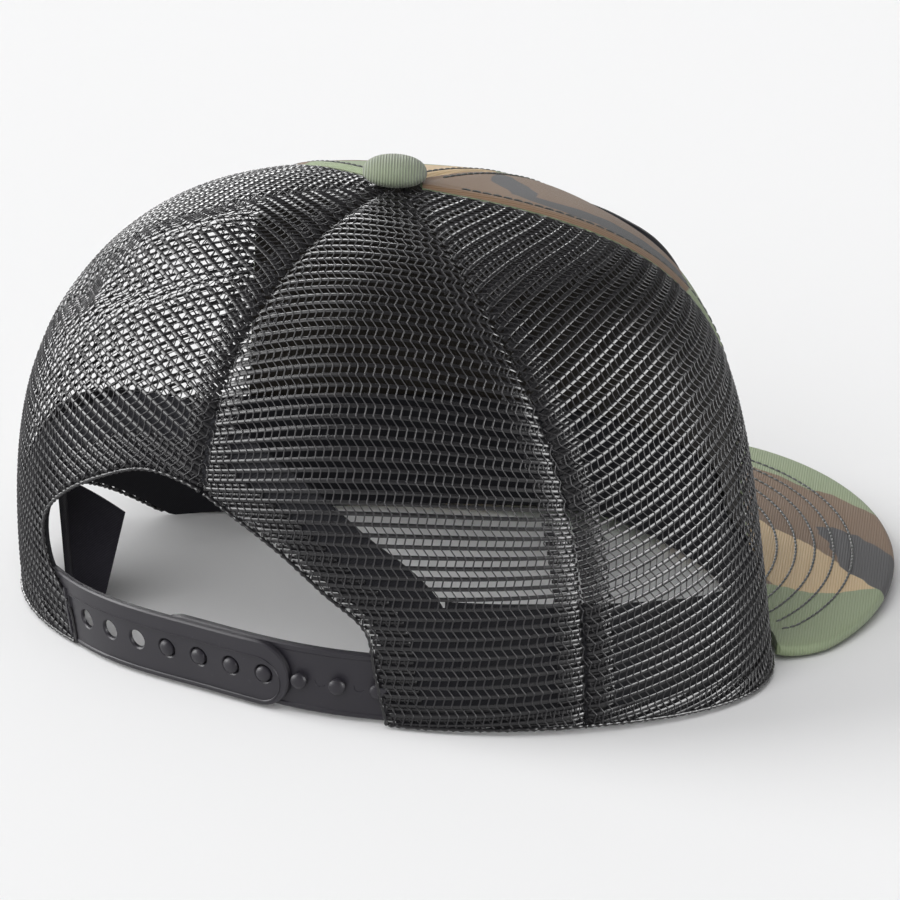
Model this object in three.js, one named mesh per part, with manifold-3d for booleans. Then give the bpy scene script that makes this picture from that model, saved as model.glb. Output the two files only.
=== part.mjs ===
// Trucker cap: two cloth front panels, four mesh panels, a flat peak and a plastic snap strap.
// Millimetres, +Z up. The peak points toward -Y and the wearer's left is +X.
// The cap rests on the back and the sides of its hem and on the peak's sides, with the
// front of the hem a little raised.

import * as THREE from 'three';
import { mergeVertices } from 'three/addons/utils/BufferGeometryUtils.js';
import Module from 'manifold-3d';

const wasm = await Module();
wasm.setup();

// Colours
const camo = 0x76795c;
const meshBlack = 0x1b1a1d;
const black = 0x121214;
const plastic = 0x3a373d;
const sage = 0x7f9570;

// Crown
const hemRadius = 90;
const crownHeight = 110;
const topBack = 17;
const topDrop = 9;
const meshWall = 1.2;
const frontWall = 1.6;
const topHole = 3.5;
const gap = 0.3;
const frontLift = 5;
const frontSeam = 67;
const frontSeamTurn = 6;
const sideSeam = 121.5;
const sideSeamTurn = 9;

// Arched opening and its tape
const archHalf = 46.5;
const archHeight = 51;
const tapeWidth = 17;
const tapeWall = 1.1;

// Sweatband
const bandHeight = 32;
const bandWall = 1.2;
const bandLift = 1.2;
const bandEnd = 142;

// Peak
const peakReach = 68;
const peakSideOut = 6;
const peakStraight = 15;
const peakEnd = 72;
const peakThick = 2.8;
const peakArch = 1.5;
const peakSideLift = 0.6;
const peakTipRise = 5;
const peakPower = 1.8;

// Button
const buttonRadius = 7.6;
const buttonHeight = 6.4;

// Snap strap
const strapHeight = 18;
const strapLift = 1;
const strapWall = 1.3;
const strapHidden = 54;
const holePitch = 8.9;
const holeCount = 7;
const holeRadius = 2.2;
const studCount = 7;
const studRadius = 1.75;
const studHeight = 1.9;
const firstHole = 39.6;
const firstStud = 3;
const endMargin = 6.6;

// Front patch
const patchWidth = 84;
const patchTurn = 18;
const patchBottom = 42;
const patchTop = 92;
const patchWall = 1;

// Care label
const labelWidth = 24;
const labelLength = 19;
const labelThick = 1.1;
const labelDroop = 8;
const labelAngle = -137;
const labelTop = 31;

// Sections of the crown, from the front round to the back, the same on both sides.
// Columns: angle in degrees, hem radius, outward bulge, height of the bulge, width of the
// shoulder, lift of the hem. The radius, bulge and shoulder are shares of hemRadius, the
// bulge's height of crownHeight and the lift of frontLift.
const sections = [
  [0, 0.88, -0.055, 0.88, 0.73, 1],
  [30, 0.875, -0.1, 0.86, 0.725, 0.5],
  [60, 0.915, -0.145, 0.88, 0.785, 0.1],
  [90, 1.063, -0.095, 0.81, 0.862, 0.05],
  [120, 1.067, 0.068, 0.69, 0.822, 0.2],
  [150, 1.005, 0.207, 0.66, 0.774, 0],
  [180, 0.891, 0.318, 0.61, 0.66, 0],
];

// Outline of the arched opening, from the wearer's right over the top to the wearer's left.
// Columns: share of archHalf, share of archHeight.
const archOutline = [
  [-1, -0.1], [-0.985, 0.02], [-0.955, 0.27], [-0.92, 0.48], [-0.72, 0.625], [-0.48, 0.775],
  [-0.18, 0.9], [0.08, 0.985], [0.36, 1], [0.65, 0.9], [0.9, 0.77], [1.07, 0.64], [1.13, 0.52],
  [1.1, 0.38], [0.97, 0.26], [0.91, 0.15], [0.9, -0.1],
];

const rad = THREE.MathUtils.degToRad;

// Angle from the front on either side, between 0 and 180 degrees.
function fromFront(angle) {
  return Math.abs(THREE.MathUtils.euclideanModulo(angle + 180, 360) - 180);
}

// A column of the sections table as a smooth function of the angle, mirrored past both ends.
function column(index) {
  const next = sections[1];
  const last = sections[sections.length - 2];
  const angles = [-next[0], ...sections.map((row) => row[0]), 360 - last[0]];
  const values = [next[index], ...sections.map((row) => row[index]), last[index]];
  const curve = new THREE.CubicInterpolant(angles, values, 1, new Float64Array(1));
  return (angle) => curve.evaluate(fromFront(angle))[0];
}

const hemShare = column(1);
const bulgeShare = column(2);
const bulgeRise = column(3);
const shoulderShare = column(4);
const liftShare = column(5);

// Point of the crown's outer face: angle in degrees from the front, s from the hem (0) to the top (1).
function crownPoint(angle, s) {
  const hem = hemShare(angle) * hemRadius;
  const bulge = hem + bulgeShare(angle) * hemRadius;
  const shoulder = shoulderShare(angle) * hemRadius;
  const b0 = (1 - s) ** 3;
  const b1 = 3 * s * (1 - s) ** 2;
  const b2 = 3 * s * s * (1 - s);
  const b3 = s ** 3;
  const radius = b0 * hem + b1 * bulge + b2 * shoulder;
  const lift = liftShare(angle) * frontLift;
  const bulgeHeight = lift + bulgeRise(angle) * (crownHeight - lift);
  const z = b0 * lift + b1 * bulgeHeight + b2 * (crownHeight - topDrop) + b3 * crownHeight;
  const back = topBack * (b2 + b3);
  return new THREE.Vector3(-radius * Math.sin(rad(angle)), -radius * Math.cos(rad(angle)) + back, z);
}

// The same point moved inward by a depth, square to the outer face.
function crownInside(angle, s, depth) {
  const point = crownPoint(angle, s);
  const along = crownPoint(angle + 0.5, s).sub(crownPoint(angle - 0.5, s));
  const up = crownPoint(angle, Math.min(1, s + 0.004)).sub(crownPoint(angle, Math.max(0, s - 0.004)));
  const outward = new THREE.Vector3().crossVectors(up, along).normalize();
  return point.addScaledVector(outward, -depth);
}

// Distance of a crown point from the vertical line through the top.
function reach(angle, s) {
  const point = crownPoint(angle, s);
  return Math.hypot(point.x, point.y - topBack);
}

// The s at which a rising or falling measure of the crown passes a value.
function solve(measure, value, low, high) {
  const rising = measure(high) > measure(low);
  for (let i = 0; i < 40; i += 1) {
    const middle = (low + high) / 2;
    if (measure(middle) < value === rising) low = middle;
    else high = middle;
  }
  return (low + high) / 2;
}

const sAtHeight = (angle, z) => solve((s) => crownPoint(angle, s).z, z, 0, 0.7);
const sNearTop = (angle, radius) => solve((s) => reach(angle, s), radius, 0.7, 1);

// Closed body between two grids of points with the same numbers of rows and columns.
function closedBody(front, back) {
  const rows = front.length;
  const cols = front[0].length;
  const positions = [...front.flat(), ...back.flat()].flatMap((p) => [p.x, p.y, p.z]);
  const at = (side, i, j) => side * rows * cols + i * cols + j;
  const index = [];
  const quad = (a, b, c, d) => index.push(a, b, c, a, c, d);
  for (let i = 0; i < rows - 1; i += 1) {
    for (let j = 0; j < cols - 1; j += 1) {
      quad(at(0, i, j), at(0, i, j + 1), at(0, i + 1, j + 1), at(0, i + 1, j));
      quad(at(1, i, j), at(1, i + 1, j), at(1, i + 1, j + 1), at(1, i, j + 1));
    }
  }
  for (let j = 0; j < cols - 1; j += 1) {
    quad(at(0, 0, j), at(1, 0, j), at(1, 0, j + 1), at(0, 0, j + 1));
    quad(at(0, rows - 1, j + 1), at(1, rows - 1, j + 1), at(1, rows - 1, j), at(0, rows - 1, j));
  }
  for (let i = 0; i < rows - 1; i += 1) {
    quad(at(0, i + 1, 0), at(1, i + 1, 0), at(1, i, 0), at(0, i, 0));
    quad(at(0, i, cols - 1), at(1, i, cols - 1), at(1, i + 1, cols - 1), at(0, i + 1, cols - 1));
  }
  const geometry = new THREE.BufferGeometry();
  geometry.setAttribute('position', new THREE.Float32BufferAttribute(positions, 3));
  geometry.setIndex(index);
  return geometry;
}

// Volume of a closed geometry, positive when its faces point out.
function signedVolume(geometry) {
  const p = geometry.attributes.position;
  const index = geometry.index.array;
  const [a, b, c] = [new THREE.Vector3(), new THREE.Vector3(), new THREE.Vector3()];
  let sum = 0;
  for (let i = 0; i < index.length; i += 3) {
    a.fromBufferAttribute(p, index[i]);
    b.fromBufferAttribute(p, index[i + 1]);
    c.fromBufferAttribute(p, index[i + 2]);
    sum += a.dot(b.cross(c)) / 6;
  }
  return sum;
}

// The same geometry with its faces pointing out.
function facingOut(geometry) {
  if (signedVolume(geometry) > 0) return geometry;
  const index = geometry.index.array;
  for (let i = 0; i < index.length; i += 3) {
    [index[i + 1], index[i + 2]] = [index[i + 2], index[i + 1]];
  }
  return geometry;
}

// A three.js geometry as a solid that can be joined and cut.
function solidOf(geometry) {
  const plain = geometry.clone();
  plain.deleteAttribute('normal');
  plain.deleteAttribute('uv');
  const merged = facingOut(mergeVertices(plain, 1e-4));
  const vertProperties = new Float32Array(merged.attributes.position.array);
  const triVerts = new Uint32Array(merged.index.array);
  return new wasm.Manifold(new wasm.Mesh({ numProp: 3, vertProperties, triVerts }));
}

// A solid as a three.js geometry again.
function geometryOf(solid) {
  const mesh = solid.getMesh();
  const geometry = new THREE.BufferGeometry();
  geometry.setAttribute('position', new THREE.Float32BufferAttribute(mesh.vertProperties, 3));
  geometry.setIndex([...mesh.triVerts]);
  return geometry;
}

// Part of a layer that follows the crown between two angles and two heights.
// edge is what it keeps free at both ends, outer and inner its depths below the outer face.
// fromTurn and toTurn swing its ends as it rises from the hem to the top.
function crownLayer({
  from, to, low, high, outer, inner, cols, rows, edge = 0, fromTurn = 0, toTurn = 0,
}) {
  const grid = (depth) => Array.from({ length: rows + 1 }, (_, i) => (
    Array.from({ length: cols + 1 }, (_, j) => {
      const middle = (from + to) / 2;
      const sMiddle = THREE.MathUtils.lerp(low(middle), high(middle), i / rows);
      const trim = THREE.MathUtils.radToDeg(edge / Math.max(1, reach(middle, sMiddle)));
      const start = from + fromTurn * sMiddle + trim;
      const angle = THREE.MathUtils.lerp(start, to + toTurn * sMiddle - trim, j / cols);
      return crownInside(angle, THREE.MathUtils.lerp(low(angle), high(angle), i / rows), depth);
    })
  ));
  return facingOut(closedBody(grid(outer), grid(inner)));
}

// The arch as a smooth outline in x and z, widened by a distance on every side.
function archShape(wider) {
  const corners = archOutline.map(([x, z]) => new THREE.Vector2(x * archHalf, z * archHeight));
  const points = new THREE.SplineCurve(corners).getPoints(36);
  const moved = points.map((point, i) => {
    const before = points[Math.max(0, i - 1)];
    const after = points[Math.min(points.length - 1, i + 1)];
    const along = after.clone().sub(before).normalize();
    return new THREE.Vector2(point.x - along.y * wider, point.y + along.x * wider);
  });
  return new THREE.Shape(moved);
}

// A shape in x and z drawn out along Y, through the back half of the crown only.
function backPrism(shape) {
  const depth = hemRadius * 1.6;
  const geometry = new THREE.ExtrudeGeometry(shape, { depth, bevelEnabled: false, curveSegments: 10 });
  geometry.rotateX(Math.PI / 2);
  geometry.translate(0, depth + hemRadius * 0.2, 0);
  return solidOf(geometry);
}

function crownPanel(from, to, fromTurn, toTurn, wall) {
  const high = (angle) => sNearTop(angle, topHole);
  const layer = { from, to, fromTurn, toTurn, low: () => 0, high, outer: 0, inner: wall };
  return crownLayer({ ...layer, cols: 12, rows: 15, edge: gap / 2 });
}

function backPanel(from, to, fromTurn, toTurn) {
  const panel = solidOf(crownPanel(from, to, fromTurn, toTurn, meshWall));
  return geometryOf(panel.subtract(backPrism(archShape(0))));
}

function sweatband() {
  const outer = frontWall + gap;
  const layer = solidOf(crownLayer({
    from: -bandEnd,
    to: bandEnd,
    low: (angle) => sAtHeight(angle, bandLift),
    high: (angle) => sAtHeight(angle, bandLift + bandHeight),
    outer,
    inner: outer + bandWall,
    cols: 44,
    rows: 4,
  }));
  return geometryOf(layer.subtract(backPrism(archShape(tapeWidth + gap))));
}

// The tape lines the mesh above the strap, from the arch's edge outward.
function archTape() {
  const outer = meshWall + gap;
  const above = strapLift + strapHeight + 1.5;
  const layer = solidOf(crownLayer({
    from: 180 - 47,
    to: 180 + 47,
    low: (angle) => sAtHeight(angle, above),
    high: (angle) => sAtHeight(angle, archHeight + tapeWidth + 6),
    outer,
    inner: outer + tapeWall,
    cols: 26,
    rows: 8,
  }));
  const wide = backPrism(archShape(tapeWidth));
  const open = backPrism(archShape(0));
  return geometryOf(layer.intersect(wide).subtract(open));
}

// Peak: inner edge along the front hem, outer edge a rounded plan curve.
function peakHalfWidth() {
  return Math.abs(crownPoint(peakEnd, 0).x) + peakSideOut;
}

function peakOuter(u) {
  const end = crownPoint(peakEnd, 0);
  const tip = crownPoint(0, 0).y - peakReach;
  const turn = end.y - peakStraight;
  const straightShare = 0.1;
  const side = Math.sign(u);
  const along = Math.abs(u);
  if (along > 1 - straightShare) {
    const share = (along - 1 + straightShare) / straightShare;
    return new THREE.Vector2(-side * peakHalfWidth(), THREE.MathUtils.lerp(turn, end.y, share));
  }
  const bend = (along / (1 - straightShare)) * (Math.PI / 2);
  const x = Math.sin(bend) ** (2 / peakPower) * peakHalfWidth();
  const y = turn + Math.cos(bend) ** (2 / peakPower) * (tip - turn);
  return new THREE.Vector2(-side * x, y);
}

// Height of the peak's underside along its outer edge, which rises toward the tip.
function peakUnderside(y) {
  const turn = crownPoint(peakEnd, 0).y - peakStraight;
  const tip = crownPoint(0, 0).y - peakReach;
  return peakSideLift + peakTipRise * THREE.MathUtils.clamp((turn - y) / (turn - tip), 0, 1);
}

function peak() {
  const cols = 44;
  const rows = 9;
  const grid = (lift) => Array.from({ length: rows + 1 }, (_, i) => (
    Array.from({ length: cols + 1 }, (_, j) => {
      const u = (2 * j) / cols - 1;
      const m = i / rows;
      const hem = crownInside(u * peakEnd, 0, -gap * 1.5);
      const outer = peakOuter(u);
      const x = THREE.MathUtils.lerp(hem.x, outer.x, m);
      const y = THREE.MathUtils.lerp(hem.y, outer.y, m);
      return new THREE.Vector3(x, y, peakUnderside(y) + peakArch * (1 - m * m) + lift);
    })
  ));
  return facingOut(closedBody(grid(peakThick), grid(0)));
}

// The patch's side edges swing outward as the crown narrows, so that its width stays even.
function frontPatch() {
  const half = THREE.MathUtils.radToDeg(patchWidth / 2 / (hemShare(0) * hemRadius));
  return crownLayer({
    from: -half,
    to: half,
    fromTurn: -patchTurn,
    toTurn: patchTurn,
    low: (angle) => sAtHeight(angle, patchBottom),
    high: (angle) => sAtHeight(angle, patchTop),
    outer: -gap - patchWall,
    inner: -gap,
    cols: 10,
    rows: 8,
  });
}

function topButton() {
  const rise = [0, 0.3, 0.55, 0.8, 1];
  const rim = 0.36 * buttonHeight;
  const dome = rise.map((share) => {
    const bend = (share * Math.PI) / 2;
    const height = rim + (buttonHeight - rim) * Math.sin(bend);
    return new THREE.Vector2(buttonRadius * Math.cos(bend), height);
  });
  const profile = [new THREE.Vector2(0, 0), new THREE.Vector2(buttonRadius * 0.9, 0), ...dome];
  profile[profile.length - 1].x = 0;
  const button = new THREE.LatheGeometry(profile, 28);
  button.rotateX(Math.PI / 2);
  button.translate(0, topBack, crownHeight + gap);
  return geometryOf(solidOf(button));
}

// Direction square to the crown's back wall at the strap's height.
function strapLean() {
  const low = crownPoint(180, 0);
  const high = crownPoint(180, sAtHeight(180, strapLift + strapHeight));
  return Math.atan2(high.y - low.y, high.z - low.z);
}

// A strip of the back wall at a depth, for one half of the strap.
function strapLayer(outer) {
  return solidOf(crownLayer({
    from: 180 - 40,
    to: 180 + 40,
    low: (angle) => sAtHeight(angle, strapLift),
    high: (angle) => sAtHeight(angle, strapLift + strapHeight),
    outer,
    inner: outer + strapWall,
    cols: 28,
    rows: 2,
  }));
}

// The middle of the strap's face at a place across the back, and at a depth.
function strapPlace(x, depth) {
  const angle = 180 - THREE.MathUtils.radToDeg(Math.asin(x / (hemShare(180) * hemRadius)));
  const s = sAtHeight(angle, strapLift + strapHeight / 2);
  const point = crownPoint(180, s);
  const found = solve((a) => -crownPoint(a, s).x, -x, 130, 230);
  return crownInside(found, s, depth).setX(x).setZ(point.z);
}

// Outline of one half of the strap, one end square and the other round.
function strapOutline(squareEnd, roundEnd) {
  const side = Math.sign(squareEnd - roundEnd);
  const radius = strapHeight / 2;
  const middle = strapLift + radius;
  const tall = radius + 2;
  const shape = new THREE.Shape();
  shape.moveTo(squareEnd, middle - tall);
  shape.lineTo(squareEnd, middle + tall);
  shape.lineTo(roundEnd + side * radius, middle + tall);
  for (let i = 1; i < 12; i += 1) {
    const bend = (i / 12) * Math.PI;
    const x = roundEnd + side * radius - side * radius * Math.sin(bend);
    shape.lineTo(x, middle + tall * Math.cos(bend));
  }
  shape.lineTo(roundEnd + side * radius, middle - tall);
  return shape;
}

// A closed cylinder square to the strap, from one depth below the crown's face to another.
function across(x, radius, from, to) {
  const pin = new THREE.CylinderGeometry(radius, radius, to - from, 14);
  pin.rotateX(-strapLean());
  const a = strapPlace(x, from);
  const b = strapPlace(x, to);
  const middle = a.add(b).multiplyScalar(0.5);
  pin.translate(middle.x, middle.y, middle.z);
  return solidOf(pin);
}

function strapWithHoles() {
  const depth = meshWall + gap;
  const last = firstHole - (holeCount - 1) * holePitch;
  const outline = backPrism(strapOutline(strapHidden, last - endMargin));
  let strap = strapLayer(depth).intersect(outline);
  for (let i = 0; i < holeCount; i += 1) {
    strap = strap.subtract(across(firstHole - i * holePitch, holeRadius, depth - 2, depth + strapWall + 2));
  }
  return geometryOf(strap);
}

function strapWithStuds() {
  const depth = meshWall + gap + strapWall + gap;
  const first = firstHole - firstStud * holePitch;
  const outline = backPrism(strapOutline(-strapHidden, first + endMargin - 3));
  let strap = strapLayer(depth).intersect(outline);
  for (let i = 0; i < studCount; i += 1) {
    const x = first - i * holePitch;
    strap = strap.add(across(x, studRadius, depth - studHeight, depth + strapWall / 2));
  }
  return geometryOf(strap);
}

// A folded label, one edge in the sweatband, hanging in toward the middle of the cap.
function careLabel() {
  const depth = frontWall + gap + bandWall + gap;
  const heights = [labelTop, labelTop - labelLength / 2, labelTop - labelLength];
  const edge = heights.map((z) => crownInside(labelAngle, sAtHeight(labelAngle, z), depth));
  const inward = (point) => Math.hypot(edge[0].x, edge[0].y) - Math.hypot(point.x, point.y);
  const corners = edge.map((point) => new THREE.Vector2(inward(point) + gap, point.z));
  corners.push(new THREE.Vector2(labelWidth - 2, labelTop - labelDroop - labelLength));
  corners.push(new THREE.Vector2(labelWidth, labelTop - labelDroop));
  const label = new THREE.ExtrudeGeometry(new THREE.Shape(corners), { depth: labelThick, bevelEnabled: false });
  label.rotateX(Math.PI / 2);
  const mesh = piece('care_label', geometryOf(solidOf(label)), black, 0.6);
  mesh.position.set(edge[0].x, edge[0].y, 0);
  mesh.rotation.z = Math.atan2(-edge[0].y, -edge[0].x);
  return mesh;
}

function piece(name, geometry, color, roughness) {
  const material = new THREE.MeshStandardMaterial({ color, roughness, metalness: 0 });
  const mesh = new THREE.Mesh(geometry, material);
  mesh.name = name;
  return mesh;
}

const front = frontSeamTurn;
const side = sideSeamTurn;
const cap = new THREE.Group();
cap.add(
  piece('front_panel_right', crownPanel(0, frontSeam, 0, front, frontWall), camo, 0.85),
  piece('front_panel_left', crownPanel(-frontSeam, 0, -front, 0, frontWall), camo, 0.85),
  piece('side_mesh_right', crownPanel(frontSeam, sideSeam, front, side, meshWall), meshBlack, 0.4),
  piece('side_mesh_left', crownPanel(-sideSeam, -frontSeam, -side, -front, meshWall), meshBlack, 0.4),
  piece('back_mesh_right', backPanel(sideSeam, 180, side, 0), meshBlack, 0.4),
  piece('back_mesh_left', backPanel(-180, -sideSeam, 0, -side), meshBlack, 0.4),
  piece('peak', peak(), camo, 0.85),
  piece('front_patch', frontPatch(), black, 0.7),
  piece('sweatband', sweatband(), black, 0.8),
  piece('arch_tape', archTape(), black, 0.8),
  piece('top_button', topButton(), sage, 0.85),
  piece('strap_with_holes', strapWithHoles(), plastic, 0.45),
  piece('strap_with_studs', strapWithStuds(), plastic, 0.45),
  careLabel(),
);

// The origin is the middle of the cap's footprint, on the surface.
const root = new THREE.Group();
root.add(cap);
root.updateMatrixWorld(true);
const box = new THREE.Box3().setFromObject(root, true);
cap.position.set(-(box.min.x + box.max.x) / 2, -(box.min.y + box.max.y) / 2, -box.min.z);
root.updateMatrixWorld(true);

export default root;
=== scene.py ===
"""A trucker cap seen from behind: camouflage front and peak, black netting, a plastic snap strap.

Lengths are in millimetres in the cap's own frame, with the button's axis at y = top_back and
the hem at z = 0, until a piece is made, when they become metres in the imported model's frame.
"""

from __future__ import annotations

import logging
import math
from dataclasses import dataclass, field
from enum import Enum

import bpy
import numpy as np
from mathutils import Matrix, Vector
from mathutils.geometry import delaunay_2d_cdt

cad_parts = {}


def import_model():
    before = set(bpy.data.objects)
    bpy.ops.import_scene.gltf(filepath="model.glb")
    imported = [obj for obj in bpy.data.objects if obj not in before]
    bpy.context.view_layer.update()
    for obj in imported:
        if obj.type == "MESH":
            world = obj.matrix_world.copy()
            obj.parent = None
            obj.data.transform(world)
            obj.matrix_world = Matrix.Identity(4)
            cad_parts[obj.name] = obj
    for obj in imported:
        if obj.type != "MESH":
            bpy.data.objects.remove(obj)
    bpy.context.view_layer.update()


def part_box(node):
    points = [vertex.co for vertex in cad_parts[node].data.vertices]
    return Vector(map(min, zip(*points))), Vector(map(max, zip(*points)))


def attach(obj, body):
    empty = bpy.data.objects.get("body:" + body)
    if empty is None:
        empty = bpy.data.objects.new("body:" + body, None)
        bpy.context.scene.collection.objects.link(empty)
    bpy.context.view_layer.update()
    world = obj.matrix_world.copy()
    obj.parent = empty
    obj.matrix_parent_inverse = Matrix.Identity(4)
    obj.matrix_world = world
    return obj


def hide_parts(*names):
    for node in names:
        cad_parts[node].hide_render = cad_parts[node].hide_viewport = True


LOG = logging.getLogger("trucker_cap")
MM = 0.001


class Side(Enum):
    """The wearer's right, at -X, or left, at +X, as the sign of a panel's angles."""

    RIGHT = 1
    LEFT = -1


class Reach(Enum):
    """Which rays a light answers: all, only reflections, or only matt surfaces."""

    ALL = "all"
    GLOSS = "gloss"
    MATT = "matt"


class Colour(Enum):
    """Colours of the camouflage print, as linear red, green and blue."""

    GREEN = (0.205, 0.255, 0.14)
    BROWN = (0.138, 0.079, 0.039)
    SAND = (0.49, 0.345, 0.178)
    CHARCOAL = (0.034, 0.033, 0.036)


# Materials


class Value:
    """A number in a node tree, whose arithmetic adds Math nodes."""

    def __init__(self, shader: "Shader", socket: bpy.types.NodeSocket) -> None:
        """Holds a socket.

        Args:
            shader: the material that the socket belongs to.
            socket: the output socket that gives the number.
        """
        self.shader = shader
        self.socket = socket

    def apply(self, operation: str, *others: "Value | float") -> "Value":
        """Feeds this value and others to one Math node.

        Args:
            operation: the Math node's operation.
            others: the second and third values.

        Returns:
            The node's result.
        """
        values = dict(enumerate((self, *others)))
        made = self.shader.node("ShaderNodeMath", {"operation": operation}, values)
        return Value(self.shader, made.outputs[0])

    def __add__(self, other: "Value | float") -> "Value":
        """Sum."""
        return self.apply("ADD", other)

    __radd__ = __add__

    def __sub__(self, other: "Value | float") -> "Value":
        """Difference."""
        return self.apply("SUBTRACT", other)

    def __rsub__(self, other: float) -> "Value":
        """A number less this value."""
        return self.apply("MULTIPLY_ADD", -1.0, other)

    def __mul__(self, other: "Value | float") -> "Value":
        """Product."""
        return self.apply("MULTIPLY", other)

    __rmul__ = __mul__

    def __truediv__(self, other: float) -> "Value":
        """Quotient by a number."""
        return self.apply("MULTIPLY", 1.0 / other)

    def sine(self) -> "Value":
        """Sine of the value in radians."""
        return self.apply("SINE")

    def size(self) -> "Value":
        """Absolute value."""
        return self.apply("ABSOLUTE")

    def top(self, other: "Value | float") -> "Value":
        """The larger of the two."""
        return self.apply("MAXIMUM", other)

    def step(self, low: float, high: float) -> "Value":
        """Rises smoothly from 0 to 1, or falls where high is below low.

        Args:
            low: where the result is 0.
            high: where it is 1.

        Returns:
            The smooth step.
        """
        made = self.shader.node(
            "ShaderNodeMapRange",
            {"interpolation_type": "SMOOTHSTEP"},
            {0: self, 1: low, 2: high, 3: 0.0, 4: 1.0},
        )
        return Value(self.shader, made.outputs[0])


class Shader:
    """One material with a Principled surface and short ways to add nodes."""

    def __init__(self, name: str, **surface: object) -> None:
        """Makes the material.

        Args:
            name: the material's name.
            surface: values of the Principled surface's sockets, spaces written as underscores.
        """
        self.material = bpy.data.materials.new(name)
        self.material.use_nodes = True
        self.tree = self.material.node_tree
        self.tree.nodes.clear()
        inputs = {key.replace("_", " "): value for key, value in surface.items()}
        self.surface = self.node("ShaderNodeBsdfPrincipled", {}, inputs)
        self.node("ShaderNodeOutputMaterial", {}, {"Surface": self.surface.outputs[0]})

    def node(self, kind: str, settings: dict, inputs: dict) -> bpy.types.Node:
        """Adds a node.

        Args:
            kind: the node's type.
            settings: its settings, set first.
            inputs: values or links of its sockets, by name or number.

        Returns:
            The node.
        """
        made = self.tree.nodes.new(kind)
        for key, value in settings.items():
            setattr(made, key, value)
        for key, value in inputs.items():
            value = value.socket if isinstance(value, Value) else value
            if isinstance(value, bpy.types.NodeSocket):
                self.tree.links.new(value, made.inputs[key])
            else:
                made.inputs[key].default_value = value
        return made

    def feed(self, **inputs: object) -> None:
        """Links values to the surface's sockets.

        Args:
            inputs: the values by socket name, spaces written as underscores.
        """
        for key, value in inputs.items():
            socket = value.socket if isinstance(value, Value) else value
            self.tree.links.new(socket, self.surface.inputs[key.replace("_", " ")])

    def place(self, kind: str) -> bpy.types.NodeSocket:
        """Texture coordinates of a kind, such as UV or Object."""
        return self.node("ShaderNodeTexCoord", {}, {}).outputs[kind]

    def noise(self, where: bpy.types.NodeSocket, scale: float, detail: float = 2.0) -> Value:
        """Noise between about 0 and 1 at a scale per unit of the coordinates."""
        made = self.node("ShaderNodeTexNoise", {}, {"Vector": where, "Scale": scale, "Detail": detail})
        return Value(self, made.outputs[0])

    def axes(self, where: bpy.types.NodeSocket) -> tuple[Value, Value, Value]:
        """The three parts of a vector."""
        made = self.node("ShaderNodeSeparateXYZ", {}, {0: where})
        return tuple(Value(self, made.outputs[i]) for i in range(3))

    def mix(self, share: Value, first: object, second: object) -> bpy.types.NodeSocket:
        """A colour between two, from the first at 0 to the second at 1."""
        made = self.node("ShaderNodeMix", {"data_type": "RGBA"}, {0: share, 6: first, 7: second})
        return made.outputs[2]

    def bump(self, height: Value, depth: float, normal: object = None) -> bpy.types.NodeSocket:
        """The normal of a relief.

        Args:
            height: the relief, 0 to 1.
            depth: its depth in metres.
            normal: the normal of a relief under it, if there is one.

        Returns:
            The normal.
        """
        inputs = {"Height": height, "Distance": depth, "Strength": 1.0}
        if normal is not None:
            inputs["Normal"] = normal
        return self.node("ShaderNodeBump", {}, inputs).outputs[0]


def rgba(colour: tuple[float, float, float]) -> tuple[float, float, float, float]:
    """A colour with full alpha."""
    return (*colour, 1.0)


@dataclass(frozen=True)
class Blot:
    """One patch of the print: a convex shape on the cloth.

    Args:
        colour: its colour.
        corners: its corners on the cloth, in millimetres, in order round it.
    """

    colour: Colour
    corners: tuple[tuple[float, float], ...]

    def sides(self) -> list[tuple[float, float, float]]:
        """The sides as half planes: the normal is the side's step turned by a quarter.

        Returns:
            Each side's outward unit normal and how far along it the side lies.
        """
        corners = np.array(self.corners, float)
        step = np.roll(corners, -1, axis=0) - corners
        after = np.roll(corners, -1, axis=0)
        area = (corners[:, 0] * after[:, 1] - after[:, 0] * corners[:, 1]).sum()
        out = np.stack([step[:, 1], -step[:, 0]], -1) * np.sign(area)
        out /= np.linalg.norm(out, axis=1, keepdims=True)
        return [(float(n[0]), float(n[1]), float(n @ c)) for n, c in zip(out, corners)]


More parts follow.
